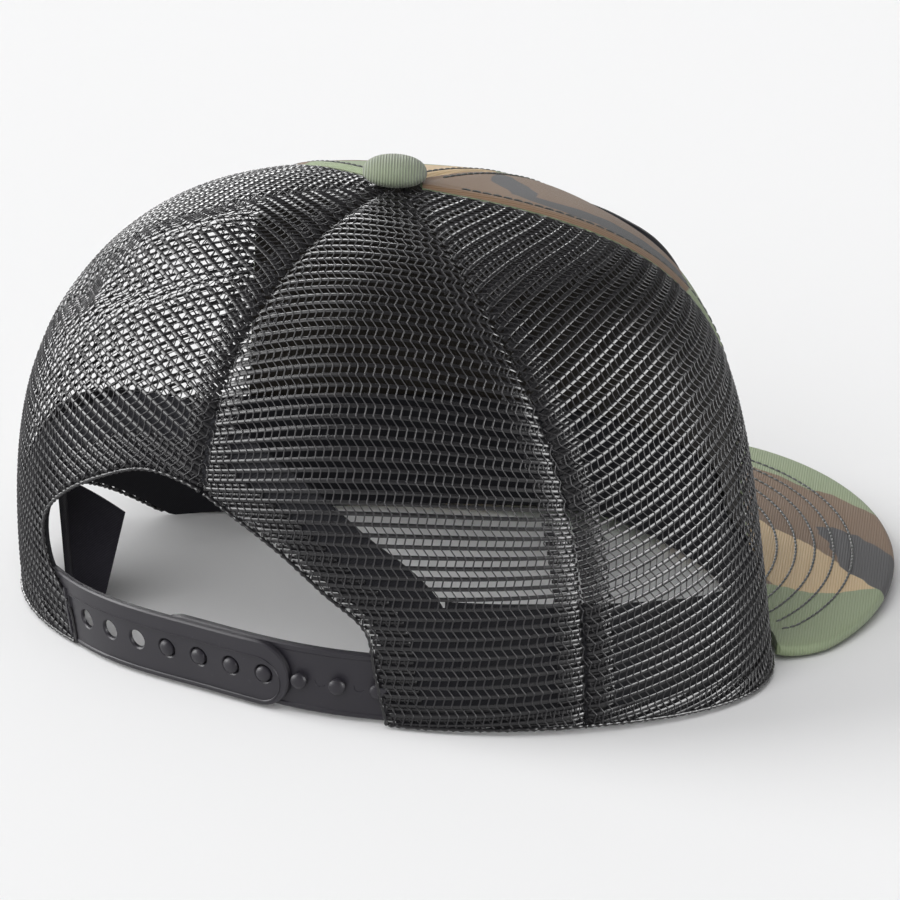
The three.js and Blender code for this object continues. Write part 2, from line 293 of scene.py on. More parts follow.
@dataclass(frozen=True)
class CamoTwill:
    """Printed cotton twill. UV coordinates are millimetres on the flat cloth, and those of its
    inner face, painted dark brown for a dark backing and as painted shade inside the crown, lie a metre further
    along."""

    name: str
    blots: tuple[Blot, ...]
    rib_turn: float = 29.0
    rib_pitch: float = 0.64
    waver: float = 3.6
    base: Colour = Colour.GREEN
    relief: float = 0.0001

    def make(self) -> bpy.types.Material:
        """The cloth: a blot is where the largest distance beyond its sides is below zero, on
        coordinates that a slow noise bends, and a later blot covers an earlier one.

        Returns:
            The material.
        """
        shader = Shader(self.name, Roughness=0.86, Sheen_Weight=0.06, Specular_IOR_Level=0.3)
        flat = shader.place("UV")
        bend = shader.node("ShaderNodeTexNoise", {}, {"Vector": flat, "Scale": 0.07, "Detail": 2.0})
        centred = shader.node(
            "ShaderNodeVectorMath", {"operation": "SUBTRACT"}, {0: bend.outputs[1], 1: (0.5, 0.5, 0.5)}
        )
        spread = shader.node(
            "ShaderNodeVectorMath",
            {"operation": "MULTIPLY_ADD"},
            {0: centred.outputs[0], 1: (self.waver * 2,) * 3, 2: flat},
        )
        colour = rgba(self.base.value)
        for blot in self.blots:
            beyond = None
            for x, y, far in blot.sides():
                dot = shader.node(
                    "ShaderNodeVectorMath", {"operation": "DOT_PRODUCT"}, {0: spread.outputs[0], 1: (x, y, 0.0)}
                )
                side = Value(shader, dot.outputs["Value"]) - far
                beyond = side if beyond is None else beyond.top(side)
            colour = shader.mix(beyond.step(0.3, -0.3), colour, rgba(blot.colour.value))
        u, v, _ = shader.axes(flat)
        turn = math.radians(self.rib_turn)
        across = (u * math.cos(turn) + v * math.sin(turn)) * (2 * math.pi / self.rib_pitch)
        ribs = across.sine() * 0.5 + 0.5
        fibres = shader.noise(flat, 3.2, 3.0)
        blotched = shader.noise(flat, 0.06, 3.0)
        pale = shader.node("ShaderNodeHueSaturation", {}, {"Saturation": 0.75, "Value": 1.35, "Color": colour})
        worn = shader.mix(ribs * 0.42 + fibres * 0.5 + blotched * 0.3 - 0.32, colour, pale.outputs[0])
        # The inner face is dark brown: partly a dark backing, partly painted shade for the inside of the crown.
        inner_face_shade = shader.mix(u.step(500.0, 600.0), worn, rgba((0.02, 0.017, 0.014)))
        shader.feed(Base_Color=inner_face_shade, Normal=shader.bump(ribs * 0.8 + fibres * 0.5, self.relief))
        return shader.material


@dataclass(frozen=True)
class NetFinish:
    """Stiff synthetic netting, black and slightly glossy. UV coordinates are the place along
    its rows, in millimetres, and a height that is about 1 for the strands."""

    name: str = "netting"
    ribbon: tuple[float, float, float] = (0.005, 0.0047, 0.0055)
    # The strands' colour is paler than the ribbons' as a painted highlight; both are the same black material.
    strand: tuple[float, float, float] = (0.021, 0.02, 0.022)

    def make(self) -> bpy.types.Material:
        """Satin ribbons with fine streaks along them, and strands above them in a paler colour, a painted
        highlight for the light that the strands catch.

        Returns:
            The material.
        """
        shader = Shader(self.name, IOR=1.5)
        where = shader.place("Object")
        _, height, _ = shader.axes(shader.place("UV"))
        raised = height.step(0.45, 0.55)
        streaks = shader.noise(where, 1100.0, 3.0)
        patches = shader.noise(where, 90.0, 2.0)
        # Painted highlight: the strands, marked by their height, get the paler colour for the light they catch.
        shade = shader.mix(raised, rgba(self.ribbon), rgba(self.strand))
        shade = shader.mix(streaks * 0.3, shade, rgba((0.016, 0.015, 0.017)))
        gloss = patches * 0.14 + streaks * 0.08 + raised * 0.14 + 0.17
        shader.feed(Base_Color=shade, Roughness=gloss, Normal=shader.bump(streaks, 0.00003))
        return shader.material


@dataclass(frozen=True)
class WovenBlack:
    """Plain black woven cloth, with a fine twill line. Reads Object coordinates."""

    name: str = "black_cloth"
    colour: tuple[float, float, float] = (0.011, 0.011, 0.013)
    roughness: float = 0.8

    def make(self) -> bpy.types.Material:
        """Diagonal ribs over the height of the cloth, with dust-fine noise.

        Returns:
            The material.
        """
        shader = Shader(self.name, Specular_IOR_Level=0.16)
        where = shader.place("Object")
        x, y, z = shader.axes(where)
        ribs = ((x + y + z * 1.4) * (2 * math.pi / 0.0009)).sine() * 0.5 + 0.5
        dust = shader.noise(where, 1400.0, 2.0)
        shade = shader.mix(dust * ribs, rgba(self.colour), rgba(tuple(c * 2.4 for c in self.colour)))
        rough = dust * 0.15 + (self.roughness - 0.08)
        shader.feed(Base_Color=shade, Roughness=rough, Normal=shader.bump(ribs * 0.6 + dust * 0.6, 0.00006))
        return shader.material


@dataclass(frozen=True)
class RibbedSage:
    """Sage green ribbed cloth of the button. Its ribs run level across the crown."""

    name: str = "sage_cloth"
    colour: tuple[float, float, float] = (0.205, 0.24, 0.16)
    pitch: float = 0.66
    turn: float = 34.0

    def make(self) -> bpy.types.Material:
        """Parallel ribs in plan: sine of the distance square to them, paler on their crests.

        Returns:
            The material.
        """
        shader = Shader(self.name, Roughness=0.85, Sheen_Weight=0.15)
        where = shader.place("Object")
        x, y, _ = shader.axes(where)
        turn = math.radians(self.turn)
        phase = (x * math.cos(turn) + y * math.sin(turn)) * (2 * math.pi / (self.pitch * MM))
        ribs = phase.sine() * 0.5 + 0.5
        fibres = shader.noise(where, 2600.0, 2.0)
        dark = rgba(tuple(c * 0.55 for c in self.colour))
        shade = shader.mix(ribs * 0.75 + fibres * 0.25, dark, rgba(tuple(c * 1.12 for c in self.colour)))
        shader.feed(Base_Color=shade, Normal=shader.bump(ribs + fibres * 0.3, 0.0002))
        return shader.material


@dataclass(frozen=True)
class StrapPlastic:
    """Moulded dark grey plastic with a satin, very finely grained face."""

    name: str = "strap_plastic"
    colour: tuple[float, float, float] = (0.012, 0.011, 0.0145)

    def make(self) -> bpy.types.Material:
        """Even colour with faint scuffs in the gloss.

        Returns:
            The material.
        """
        shader = Shader(self.name, Base_Color=rgba(self.colour), Specular_IOR_Level=0.38)
        where = shader.place("Object")
        grain = shader.noise(where, 5200.0, 2.0)
        scuffs = shader.noise(where, 130.0, 4.0)
        specks = shader.noise(where, 800.0, 1.0).step(0.72, 0.8)
        shade = shader.mix(specks * 0.5 + scuffs * 0.3, rgba(self.colour), rgba((0.032, 0.029, 0.037)))
        shader.feed(
            Base_Color=shade,
            Roughness=scuffs * 0.14 + grain * 0.08 + 0.34,
            Normal=shader.bump(grain, 0.000012),
        )
        return shader.material


@dataclass(frozen=True)
class Thread:
    """Dark sewing thread."""

    name: str = "thread"
    colour: tuple[float, float, float] = (0.014, 0.016, 0.014)

    def make(self) -> bpy.types.Material:
        """Two plies seen as fine slanting lines.

        Returns:
            The material.
        """
        shader = Shader(self.name, Roughness=0.6)
        x, y, z = shader.axes(shader.place("Object"))
        plies = ((x * 1.3 + y + z) * (2 * math.pi / 0.0005)).sine() * 0.5 + 0.5
        shade = shader.mix(plies, rgba(self.colour), rgba(tuple(c * 1.9 for c in self.colour)))
        shader.feed(Base_Color=shade, Normal=shader.bump(plies, 0.00005))
        return shader.material


# Meshes


class Shape:
    """Points and faces gathered for one piece, in millimetres."""

    def __init__(self) -> None:
        """Starts empty."""
        self.points: list[np.ndarray] = []
        self.faces: list[np.ndarray] = []
        self.flat: list[np.ndarray] = []
        self.count = 0

    def add(self, points: np.ndarray, faces: list[np.ndarray], flat: np.ndarray | None = None) -> None:
        """Adds points and the faces between them.

        Args:
            points: positions, n by 3.
            faces: arrays of corners, each m by k, counted from the first of these points.
            flat: coordinates on the cloth, n by 2, if the piece has them.
        """
        points = np.asarray(points, float).reshape(-1, 3)
        self.points.append(points)
        self.flat.append(np.zeros((len(points), 2)) if flat is None else np.reshape(flat, (-1, 2)))
        self.faces.extend(np.asarray(part, int) + self.count for part in faces)
        self.count += len(points)

    def grid(
        self,
        points: np.ndarray,
        wrap: bool = False,
        caps: bool = False,
        flat: np.ndarray | None = None,
        turn: bool = False,
    ) -> None:
        """Adds a grid of points as quads.

        Args:
            points: positions, rows by columns by 3.
            wrap: whether the last column joins the first.
            caps: whether the first and last rows are closed by one face each.
            flat: coordinates on the cloth, rows by columns by 2.
            turn: whether the faces point the other way.
        """
        rows, cols = points.shape[:2]
        corner = np.arange(rows * cols).reshape(rows, cols)
        right = np.roll(corner, -1, axis=1) if wrap else corner[:, 1:]
        left = corner if wrap else corner[:, :-1]
        quads = np.stack([left[:-1], right[:-1], right[1:], left[1:]], -1).reshape(-1, 4)
        faces = [quads]
        if caps:
            faces += [corner[:1, ::-1], corner[-1:]]
        if turn:
            faces = [part[:, ::-1] for part in faces]
        self.add(points, faces, flat)

    def wall(
        self, outer: np.ndarray, inner: np.ndarray, flat: np.ndarray | None = None, turn: bool = False
    ) -> "Shape":
        """Adds a wall: its section runs out along the outer face and back along the inner one.

        Args:
            outer: the outer face, rows by columns by 3.
            inner: the inner face, in the same order.
            flat: coordinates on the cloth of the whole section, if the piece has them.
            turn: whether the faces point the other way.

        Returns:
            This shape.
        """
        self.grid(np.concatenate([outer, inner[:, ::-1]], axis=1), wrap=True, caps=True, flat=flat, turn=turn)
        return self

    def piece(
        self,
        name: str,
        material: bpy.types.Material,
        slot: str,
        shift: np.ndarray,
        smooth: float | None = None,
    ) -> bpy.types.Object:
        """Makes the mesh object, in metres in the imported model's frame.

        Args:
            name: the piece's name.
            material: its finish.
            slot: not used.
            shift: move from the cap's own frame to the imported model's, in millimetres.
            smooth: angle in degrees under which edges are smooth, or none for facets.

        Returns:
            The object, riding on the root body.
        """
        points = (np.concatenate(self.points) + shift) * MM
        flat = np.concatenate(self.flat)
        loops = np.concatenate([part.ravel() for part in self.faces])
        sizes = np.concatenate([np.full(len(part), part.shape[1]) for part in self.faces])
        mesh = bpy.data.meshes.new(name)
        mesh.vertices.add(len(points))
        mesh.vertices.foreach_set("co", points.ravel())
        mesh.loops.add(len(loops))
        mesh.loops.foreach_set("vertex_index", loops)
        mesh.polygons.add(len(sizes))
        mesh.polygons.foreach_set("loop_start", np.concatenate([[0], np.cumsum(sizes)[:-1]]))
        mesh.update(calc_edges=True)
        layer = mesh.uv_layers.new(name="UVMap")
        layer.data.foreach_set("uv", flat[loops].ravel())
        mesh.validate()
        if smooth is not None:
            mesh.shade_smooth()
            mesh.set_sharp_from_angle(angle=math.radians(smooth))
        made = bpy.data.objects.new(name, mesh)
        bpy.context.scene.collection.objects.link(made)
        made.data.materials.append(material)
        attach(made, "root")
        LOG.info("%s: %d faces", name, len(sizes))
        return made


def runs(mask: np.ndarray) -> list[tuple[int, int]]:
    """First and last places of each unbroken run of true values."""
    edges = np.flatnonzero(np.diff(np.concatenate([[0], mask.astype(int), [0]])))
    return [(a, b - 1) for a, b in zip(edges[::2], edges[1::2]) if b - a > 2]


def reach_of(path: np.ndarray) -> np.ndarray:
    """Distance of each point of a path from its start."""
    return np.concatenate([[0], np.cumsum(np.linalg.norm(np.diff(path, axis=0), axis=1))])


def pick(places: np.ndarray, lengths: np.ndarray, rows: np.ndarray) -> np.ndarray:
    """Rows at places, by straight steps between the rows known at lengths."""
    return np.stack([np.interp(places, lengths, rows[:, i]) for i in range(rows.shape[1])], -1)


def along(path: np.ndarray, places: np.ndarray) -> np.ndarray:
    """Points of a path at distances from its start, by straight steps between its points."""
    return pick(places, reach_of(path), path)


def spline(a: np.ndarray, b: np.ndarray, c: np.ndarray, d: np.ndarray, p: np.ndarray) -> np.ndarray:
    """The Catmull-Rom cubic from b (p = 0) to c (p = 1), with a before and d after them."""
    return b + 0.5 * p * (c - a + p * (2 * a - 5 * b + 4 * c - d + p * (3 * (b - c) + d - a)))


def unit(vectors: np.ndarray) -> np.ndarray:
    """Vectors divided by their lengths."""
    return vectors / np.maximum(np.linalg.norm(vectors, axis=-1, keepdims=True), 1e-9)


def path_length(path: np.ndarray) -> float:
    """Length of a path of points."""
    return float(np.linalg.norm(np.diff(path, axis=0), axis=1).sum())


def distance_to(points: np.ndarray, path: np.ndarray) -> np.ndarray:
    """Distance of flat points from a path: the least over its segments, each with its foot
    held between the segment's ends.

    Args:
        points: n by 2.
        path: m by 2.

    Returns:
        n distances.
    """
    best = np.full(len(points), 1e9)
    for a, b in zip(path[:-1], path[1:]):
        step = b - a
        share = np.clip(((points - a) @ step) / max(step @ step, 1e-12), 0, 1)
        best = np.minimum(best, np.linalg.norm(points - a - share[:, None] * step, axis=1))
    return best


def within(points: np.ndarray, outline: np.ndarray) -> np.ndarray:
    """Whether flat points lie inside a closed outline: a ray from each crosses it an odd
    number of times.

    Args:
        points: n by 2.
        outline: m by 2.

    Returns:
        n truth values.
    """
    inside = np.zeros(len(points), bool)
    x, y = points.T
    for (ax, ay), (bx, by) in zip(outline, np.roll(outline, -1, axis=0)):
        crosses = (ay > y) != (by > y)
        with np.errstate(divide="ignore", invalid="ignore"):
            left = x < (bx - ax) * (y - ay) / (by - ay) + ax
        inside ^= crosses & left
    return inside


# The cap's form


@dataclass(frozen=True)
class Crown:
    """The crown's outer face as a function of the angle from the front and of s, from the hem
    (0) to the top (1). Positive angles are on the wearer's right, at -X."""

    hem_radius: float = 90.0
    height: float = 110.0
    top_back: float = 17.0
    top_drop: float = 9.0
    front_lift: float = 5.0
    front_seam: float = 67.0
    front_turn: float = 6.0
    side_seam: float = 121.5
    side_turn: float = 9.0
    arch_half: float = 46.5
    arch_height: float = 51.0
    # Columns: hem radius, bulge, rise of the bulge, shoulder, lift, every 30 degrees.
    sections: tuple[tuple[float, ...], ...] = (
        (0.88, -0.055, 0.88, 0.73, 1.0),
        (0.875, -0.1, 0.86, 0.725, 0.5),
        (0.915, -0.145, 0.88, 0.785, 0.1),
        (1.063, -0.095, 0.81, 0.862, 0.05),
        (1.067, 0.068, 0.69, 0.822, 0.2),
        (1.005, 0.207, 0.66, 0.774, 0.0),
        (0.891, 0.318, 0.61, 0.66, 0.0),
    )
    # Columns: share of arch_half and share of arch_height, from the wearer's right.
    arch: tuple[tuple[float, float], ...] = (
        (-1, -0.1), (-0.985, 0.02), (-0.955, 0.27), (-0.92, 0.48), (-0.72, 0.625), (-0.48, 0.775),
        (-0.18, 0.9), (0.08, 0.985), (0.36, 1), (0.65, 0.9), (0.9, 0.77), (1.07, 0.64), (1.13, 0.52),
        (1.1, 0.38), (0.97, 0.26), (0.91, 0.15), (0.9, -0.1),
    )  # fmt: skip
    # Columns: angle, s, spread in degrees, spread in s, depth in millimetres.
    dents: tuple[tuple[float, ...], ...] = (
        (-130.0, 0.5, 9.0, 0.045, 3.0),
        (-142.0, 0.57, 9.0, 0.045, 3.6),
        (-152.0, 0.63, 8.0, 0.045, 3.4),
        (-161.0, 0.69, 8.0, 0.045, 1.8),
        (-134.0, 0.66, 12.0, 0.055, -1.8),
        (-147.0, 0.74, 12.0, 0.055, -2.0),
        (107.0, 0.46, 9.0, 0.1, 1.4),
        (117.0, 0.34, 8.0, 0.12, -0.9),
        (58.0, 0.13, 16.0, 0.14, 4.2),
    )
    dimple: float = 1.4
    # The hem's wave at the wearer's left: height, where it starts and ends, and the width of each side.
    wave: tuple[float, float, float, float, float] = (15.0, -79.0, 25.0, -124.0, 18.0)

    def column(self, index: int, angle: np.ndarray) -> np.ndarray:
        """A column of the sections at angles: a Catmull-Rom curve, mirrored past both ends.

        Args:
            index: which column.
            angle: angles in degrees.

        Returns:
            The column's value at each angle.
        """
        angle = np.abs((np.asarray(angle, float) + 180) % 360 - 180)
        values = np.array([row[index] for row in self.sections])
        values = np.concatenate([[values[1]], values, [values[-2]]])
        k = np.minimum((angle // 30).astype(int), 5)
        p = angle / 30 - k
        a, b, c, d = values[k], values[k + 1], values[k + 2], values[k + 3]
        return spline(a, b, c, d, p)

    def smooth_point(self, angle: np.ndarray, s: np.ndarray) -> np.ndarray:
        """A cubic Bezier profile at each angle: hem, bulge, shoulder and top, whose last two
        also move back by top_back.

        Args:
            angle: angles in degrees.
            s: from the hem (0) to the top (1).

        Returns:
            Points, without the dents.
        """
        angle, s = np.broadcast_arrays(np.asarray(angle, float), np.asarray(s, float))
        hem = self.column(0, angle) * self.hem_radius
        bulge = hem + self.column(1, angle) * self.hem_radius
        shoulder = self.column(3, angle) * self.hem_radius
        b0, b1, b2, b3 = (1 - s) ** 3, 3 * s * (1 - s) ** 2, 3 * s * s * (1 - s), s**3
        radius = b0 * hem + b1 * bulge + b2 * shoulder
        lift = self.column(4, angle) * self.front_lift
        rise = lift + self.column(2, angle) * (self.height - lift)
        z = b0 * lift + b1 * rise + b2 * (self.height - self.top_drop) + b3 * self.height
        turn = np.radians(angle)
        y = -radius * np.cos(turn) + self.top_back * (b2 + b3)
        return np.stack([-radius * np.sin(turn), y, z], -1)

    def normal(self, angle: np.ndarray, s: np.ndarray) -> np.ndarray:
        """Outward unit normal, from small steps along and up the face.

        Args:
            angle, s: places on the face.

        Returns:
            Unit vectors.
        """
        across = self.smooth_point(np.add(angle, 0.5), s) - self.smooth_point(np.subtract(angle, 0.5), s)
        up = self.smooth_point(angle, np.minimum(1, np.add(s, 0.004)))
        up = up - self.smooth_point(angle, np.subtract(s, 0.004))
        return unit(np.cross(up, across))

    def dent(self, angle: np.ndarray, s: np.ndarray) -> np.ndarray:
        """Depth of the dents: a sum of bell curves in the angle and s, and one at the top.

        Args:
            angle, s: places on the face.

        Returns:
            Depths, negative where the face bulges.
        """
        angle, s = np.asarray(angle, float), np.asarray(s, float)
        total = self.dimple * np.exp(-(((1 - s) / 0.1) ** 2)) * np.ones_like(angle)
        for at, height, wide, tall, depth in self.dents:
            off = (angle - at + 180) % 360 - 180
            total = total + depth * np.exp(-((off / wide) ** 2) - ((s - height) / tall) ** 2)
        return total

    def inside(self, angle: np.ndarray, s: np.ndarray, depth: np.ndarray | float) -> np.ndarray:
        """Points at a depth below the outer face, square to it, with the dents."""
        depth = np.asarray(depth + self.dent(angle, s), float)[..., None]
        return self.smooth_point(angle, s) - self.normal(angle, s) * depth

    def at_height(self, angle: np.ndarray, z: np.ndarray | float) -> np.ndarray:
        """The s at heights, by halving the range 40 times.

        Args:
            angle: angles in degrees.
            z: heights above the floor.

        Returns:
            s at each.
        """
        angle, z = np.broadcast_arrays(np.asarray(angle, float), np.asarray(z, float))
        low, high = np.zeros(angle.shape) - 0.05, np.full(angle.shape, 0.75)
        for _ in range(40):
            middle = (low + high) / 2
            below = self.smooth_point(angle, middle)[..., 2] < z
            low, high = np.where(below, middle, low), np.where(below, high, middle)
        return (low + high) / 2

    def hem(self, angle: np.ndarray) -> np.ndarray:
        """Height of the hem's wave: it rises as a quarter sine and falls as a smooth cubic.

        Args:
            angle: angles in degrees.

        Returns:
            Heights, 0 outside the wave.
        """
        height, start, rise, end, fall = self.wave
        up = np.sin(np.clip((start - angle) / rise, 0, 1) * math.pi / 2)
        down = np.clip((angle - end) / fall, 0, 1)
        return height * up * down * down * (3 - 2 * down)

    def on_back(self, x: np.ndarray, z: np.ndarray) -> tuple[np.ndarray, np.ndarray]:
        """Places of the back wall: the angle whose sine is x over the radius there, found in 20
        rounds.

        Args:
            x: places across.
            z: heights.

        Returns:
            The angles and s.
        """
        x, z = np.broadcast_arrays(np.asarray(x, float), np.asarray(z, float))
        angle = 180 + np.degrees(np.arcsin(np.clip(x / self.hem_radius, -0.95, 0.95)))
        for _ in range(20):
            s = self.at_height(angle, z)
            here = self.smooth_point(angle, s)
            slope = self.smooth_point(angle + 0.5, s)[..., 0] - self.smooth_point(angle - 0.5, s)[..., 0]
            angle = angle + np.clip((x - here[..., 0]) / slope, -8, 8)
        return angle, self.at_height(angle, z)

    def arch_path(self) -> np.ndarray:
        """The arch's edge: a Catmull-Rom curve through its table, ten steps a corner.

        Returns:
            x and z of its points.
        """
        corners = np.array(self.arch) * (self.arch_half, self.arch_height)
        padded = np.concatenate([corners[:1], corners, corners[-1:]])
        share = np.linspace(0, 1, 10, endpoint=False)[:, None]
        parts = [spline(a, b, c, d, share) for a, b, c, d in zip(padded, padded[1:], padded[2:], padded[3:])]
        return np.concatenate([*parts, corners[-1:]])


@dataclass
class Gore:
    """One panel of the crown with its flat pattern. Rows of the flat cloth are square to the
    panel's middle line: a parallel of the crown is laid flat as an arc of its own curvature."""

    crown: Crown
    start: float
    end: float
    start_turn: float
    end_turn: float
    top: float = 0.972
    rows: int = 110
    cols: int = 41

    def __post_init__(self) -> None:
        """Tabulates the lengths along the middle line and along the parallels."""
        self.s = np.linspace(0, self.top, self.rows)
        self.t = np.linspace(-1, 1, self.cols)
        points = self.crown.smooth_point(self.angle(self.s[:, None], self.t[None]), self.s[:, None])
        steps = np.linalg.norm(np.diff(points, axis=1), axis=-1)
        lengths = np.concatenate([np.zeros((self.rows, 1)), np.cumsum(steps, axis=1)], axis=1)
        middle = self.cols // 2
        self.length = lengths - lengths[:, middle : middle + 1]
        up = np.linalg.norm(np.diff(points[:, middle], axis=0), axis=-1)
        self.climb = np.concatenate([[0], np.cumsum(up)])
        self.half = (self.length[:, -1] - self.length[:, 0]) / 2
        bend = -np.gradient(self.half, self.climb) / self.half
        kernel = np.hanning(15)
        padded = np.pad(bend, 7, mode="edge")
        self.bend = np.convolve(padded, kernel / kernel.sum(), mode="valid")

    def angle(self, s: np.ndarray, t: np.ndarray) -> np.ndarray:
        """Angle in degrees, by straight steps between the two side seams.

        Args:
            s: from the hem (0) to the top (1).
            t: from one side seam (-1) to the other (1).

        Returns:
            Angles.
        """
        first = self.start + self.start_turn * s
        last = self.end + self.end_turn * s
        return (first + last) / 2 + t * (last - first) / 2

    def lay(self, s: np.ndarray, t: np.ndarray) -> tuple[np.ndarray, np.ndarray]:
        """Lays places flat: x is the sine of the arc's turn over its curvature, and v is the
        climb plus the arc's rise.

        Args:
            s, t: places on the panel.

        Returns:
            x and v on the flat cloth.
        """
        row = np.clip(np.interp(s, self.s, np.arange(self.rows)), 0, self.rows - 1.001)
        col = np.clip((t + 1) / 2 * (self.cols - 1), 0, self.cols - 1.001)
        i, j = row.astype(int), col.astype(int)
        fi, fj = row - i, col - j
        table = self.length
        low = table[i, j] * (1 - fj) + table[i, j + 1] * fj
        high = table[i + 1, j] * (1 - fj) + table[i + 1, j + 1] * fj
        arc = low * (1 - fi) + high * fi
        over = np.abs(t) - 1
        arc = arc + np.sign(t) * np.where(over > 0, over, 0) * np.interp(s, self.s, self.half)
        bend = np.interp(s, self.s, self.bend)
        bend = np.where(np.abs(bend) < 1e-5, 1e-5, bend)
        rise = (1 - np.cos(bend * arc)) / bend
        below = np.minimum(s, 0) * (self.climb[1] / self.s[1])
        return np.sin(bend * arc) / bend, np.interp(s, self.s, self.climb) + below + rise

    def find(self, x: np.ndarray, v: np.ndarray) -> tuple[np.ndarray, np.ndarray]:
        """Finds places of the flat cloth on the panel, by 16 rounds that correct s and t by what
        is missing.

        Args:
            x, v: places on the flat cloth.

        Returns:
            s and t.
        """
        s = np.interp(v, self.climb, self.s)
        t = x / np.interp(s, self.s, self.half)
        for _ in range(16):
            have_x, have_v = self.lay(s, t)
            speed = np.interp(s, self.s, np.gradient(self.climb, self.s))
            s = np.clip(s + 0.8 * (v - have_v) / speed, -0.06, 1.0)
            t = np.clip(t + 0.8 * (x - have_x) / np.maximum(np.interp(s, self.s, self.half), 1), -1.5, 1.5)
        return s, t

    def to_seam(self, s: np.ndarray, t: np.ndarray) -> np.ndarray:
        """Distance along the face to the nearer side seam."""
        return (1 - np.abs(t)) * np.interp(s, self.s, self.half)


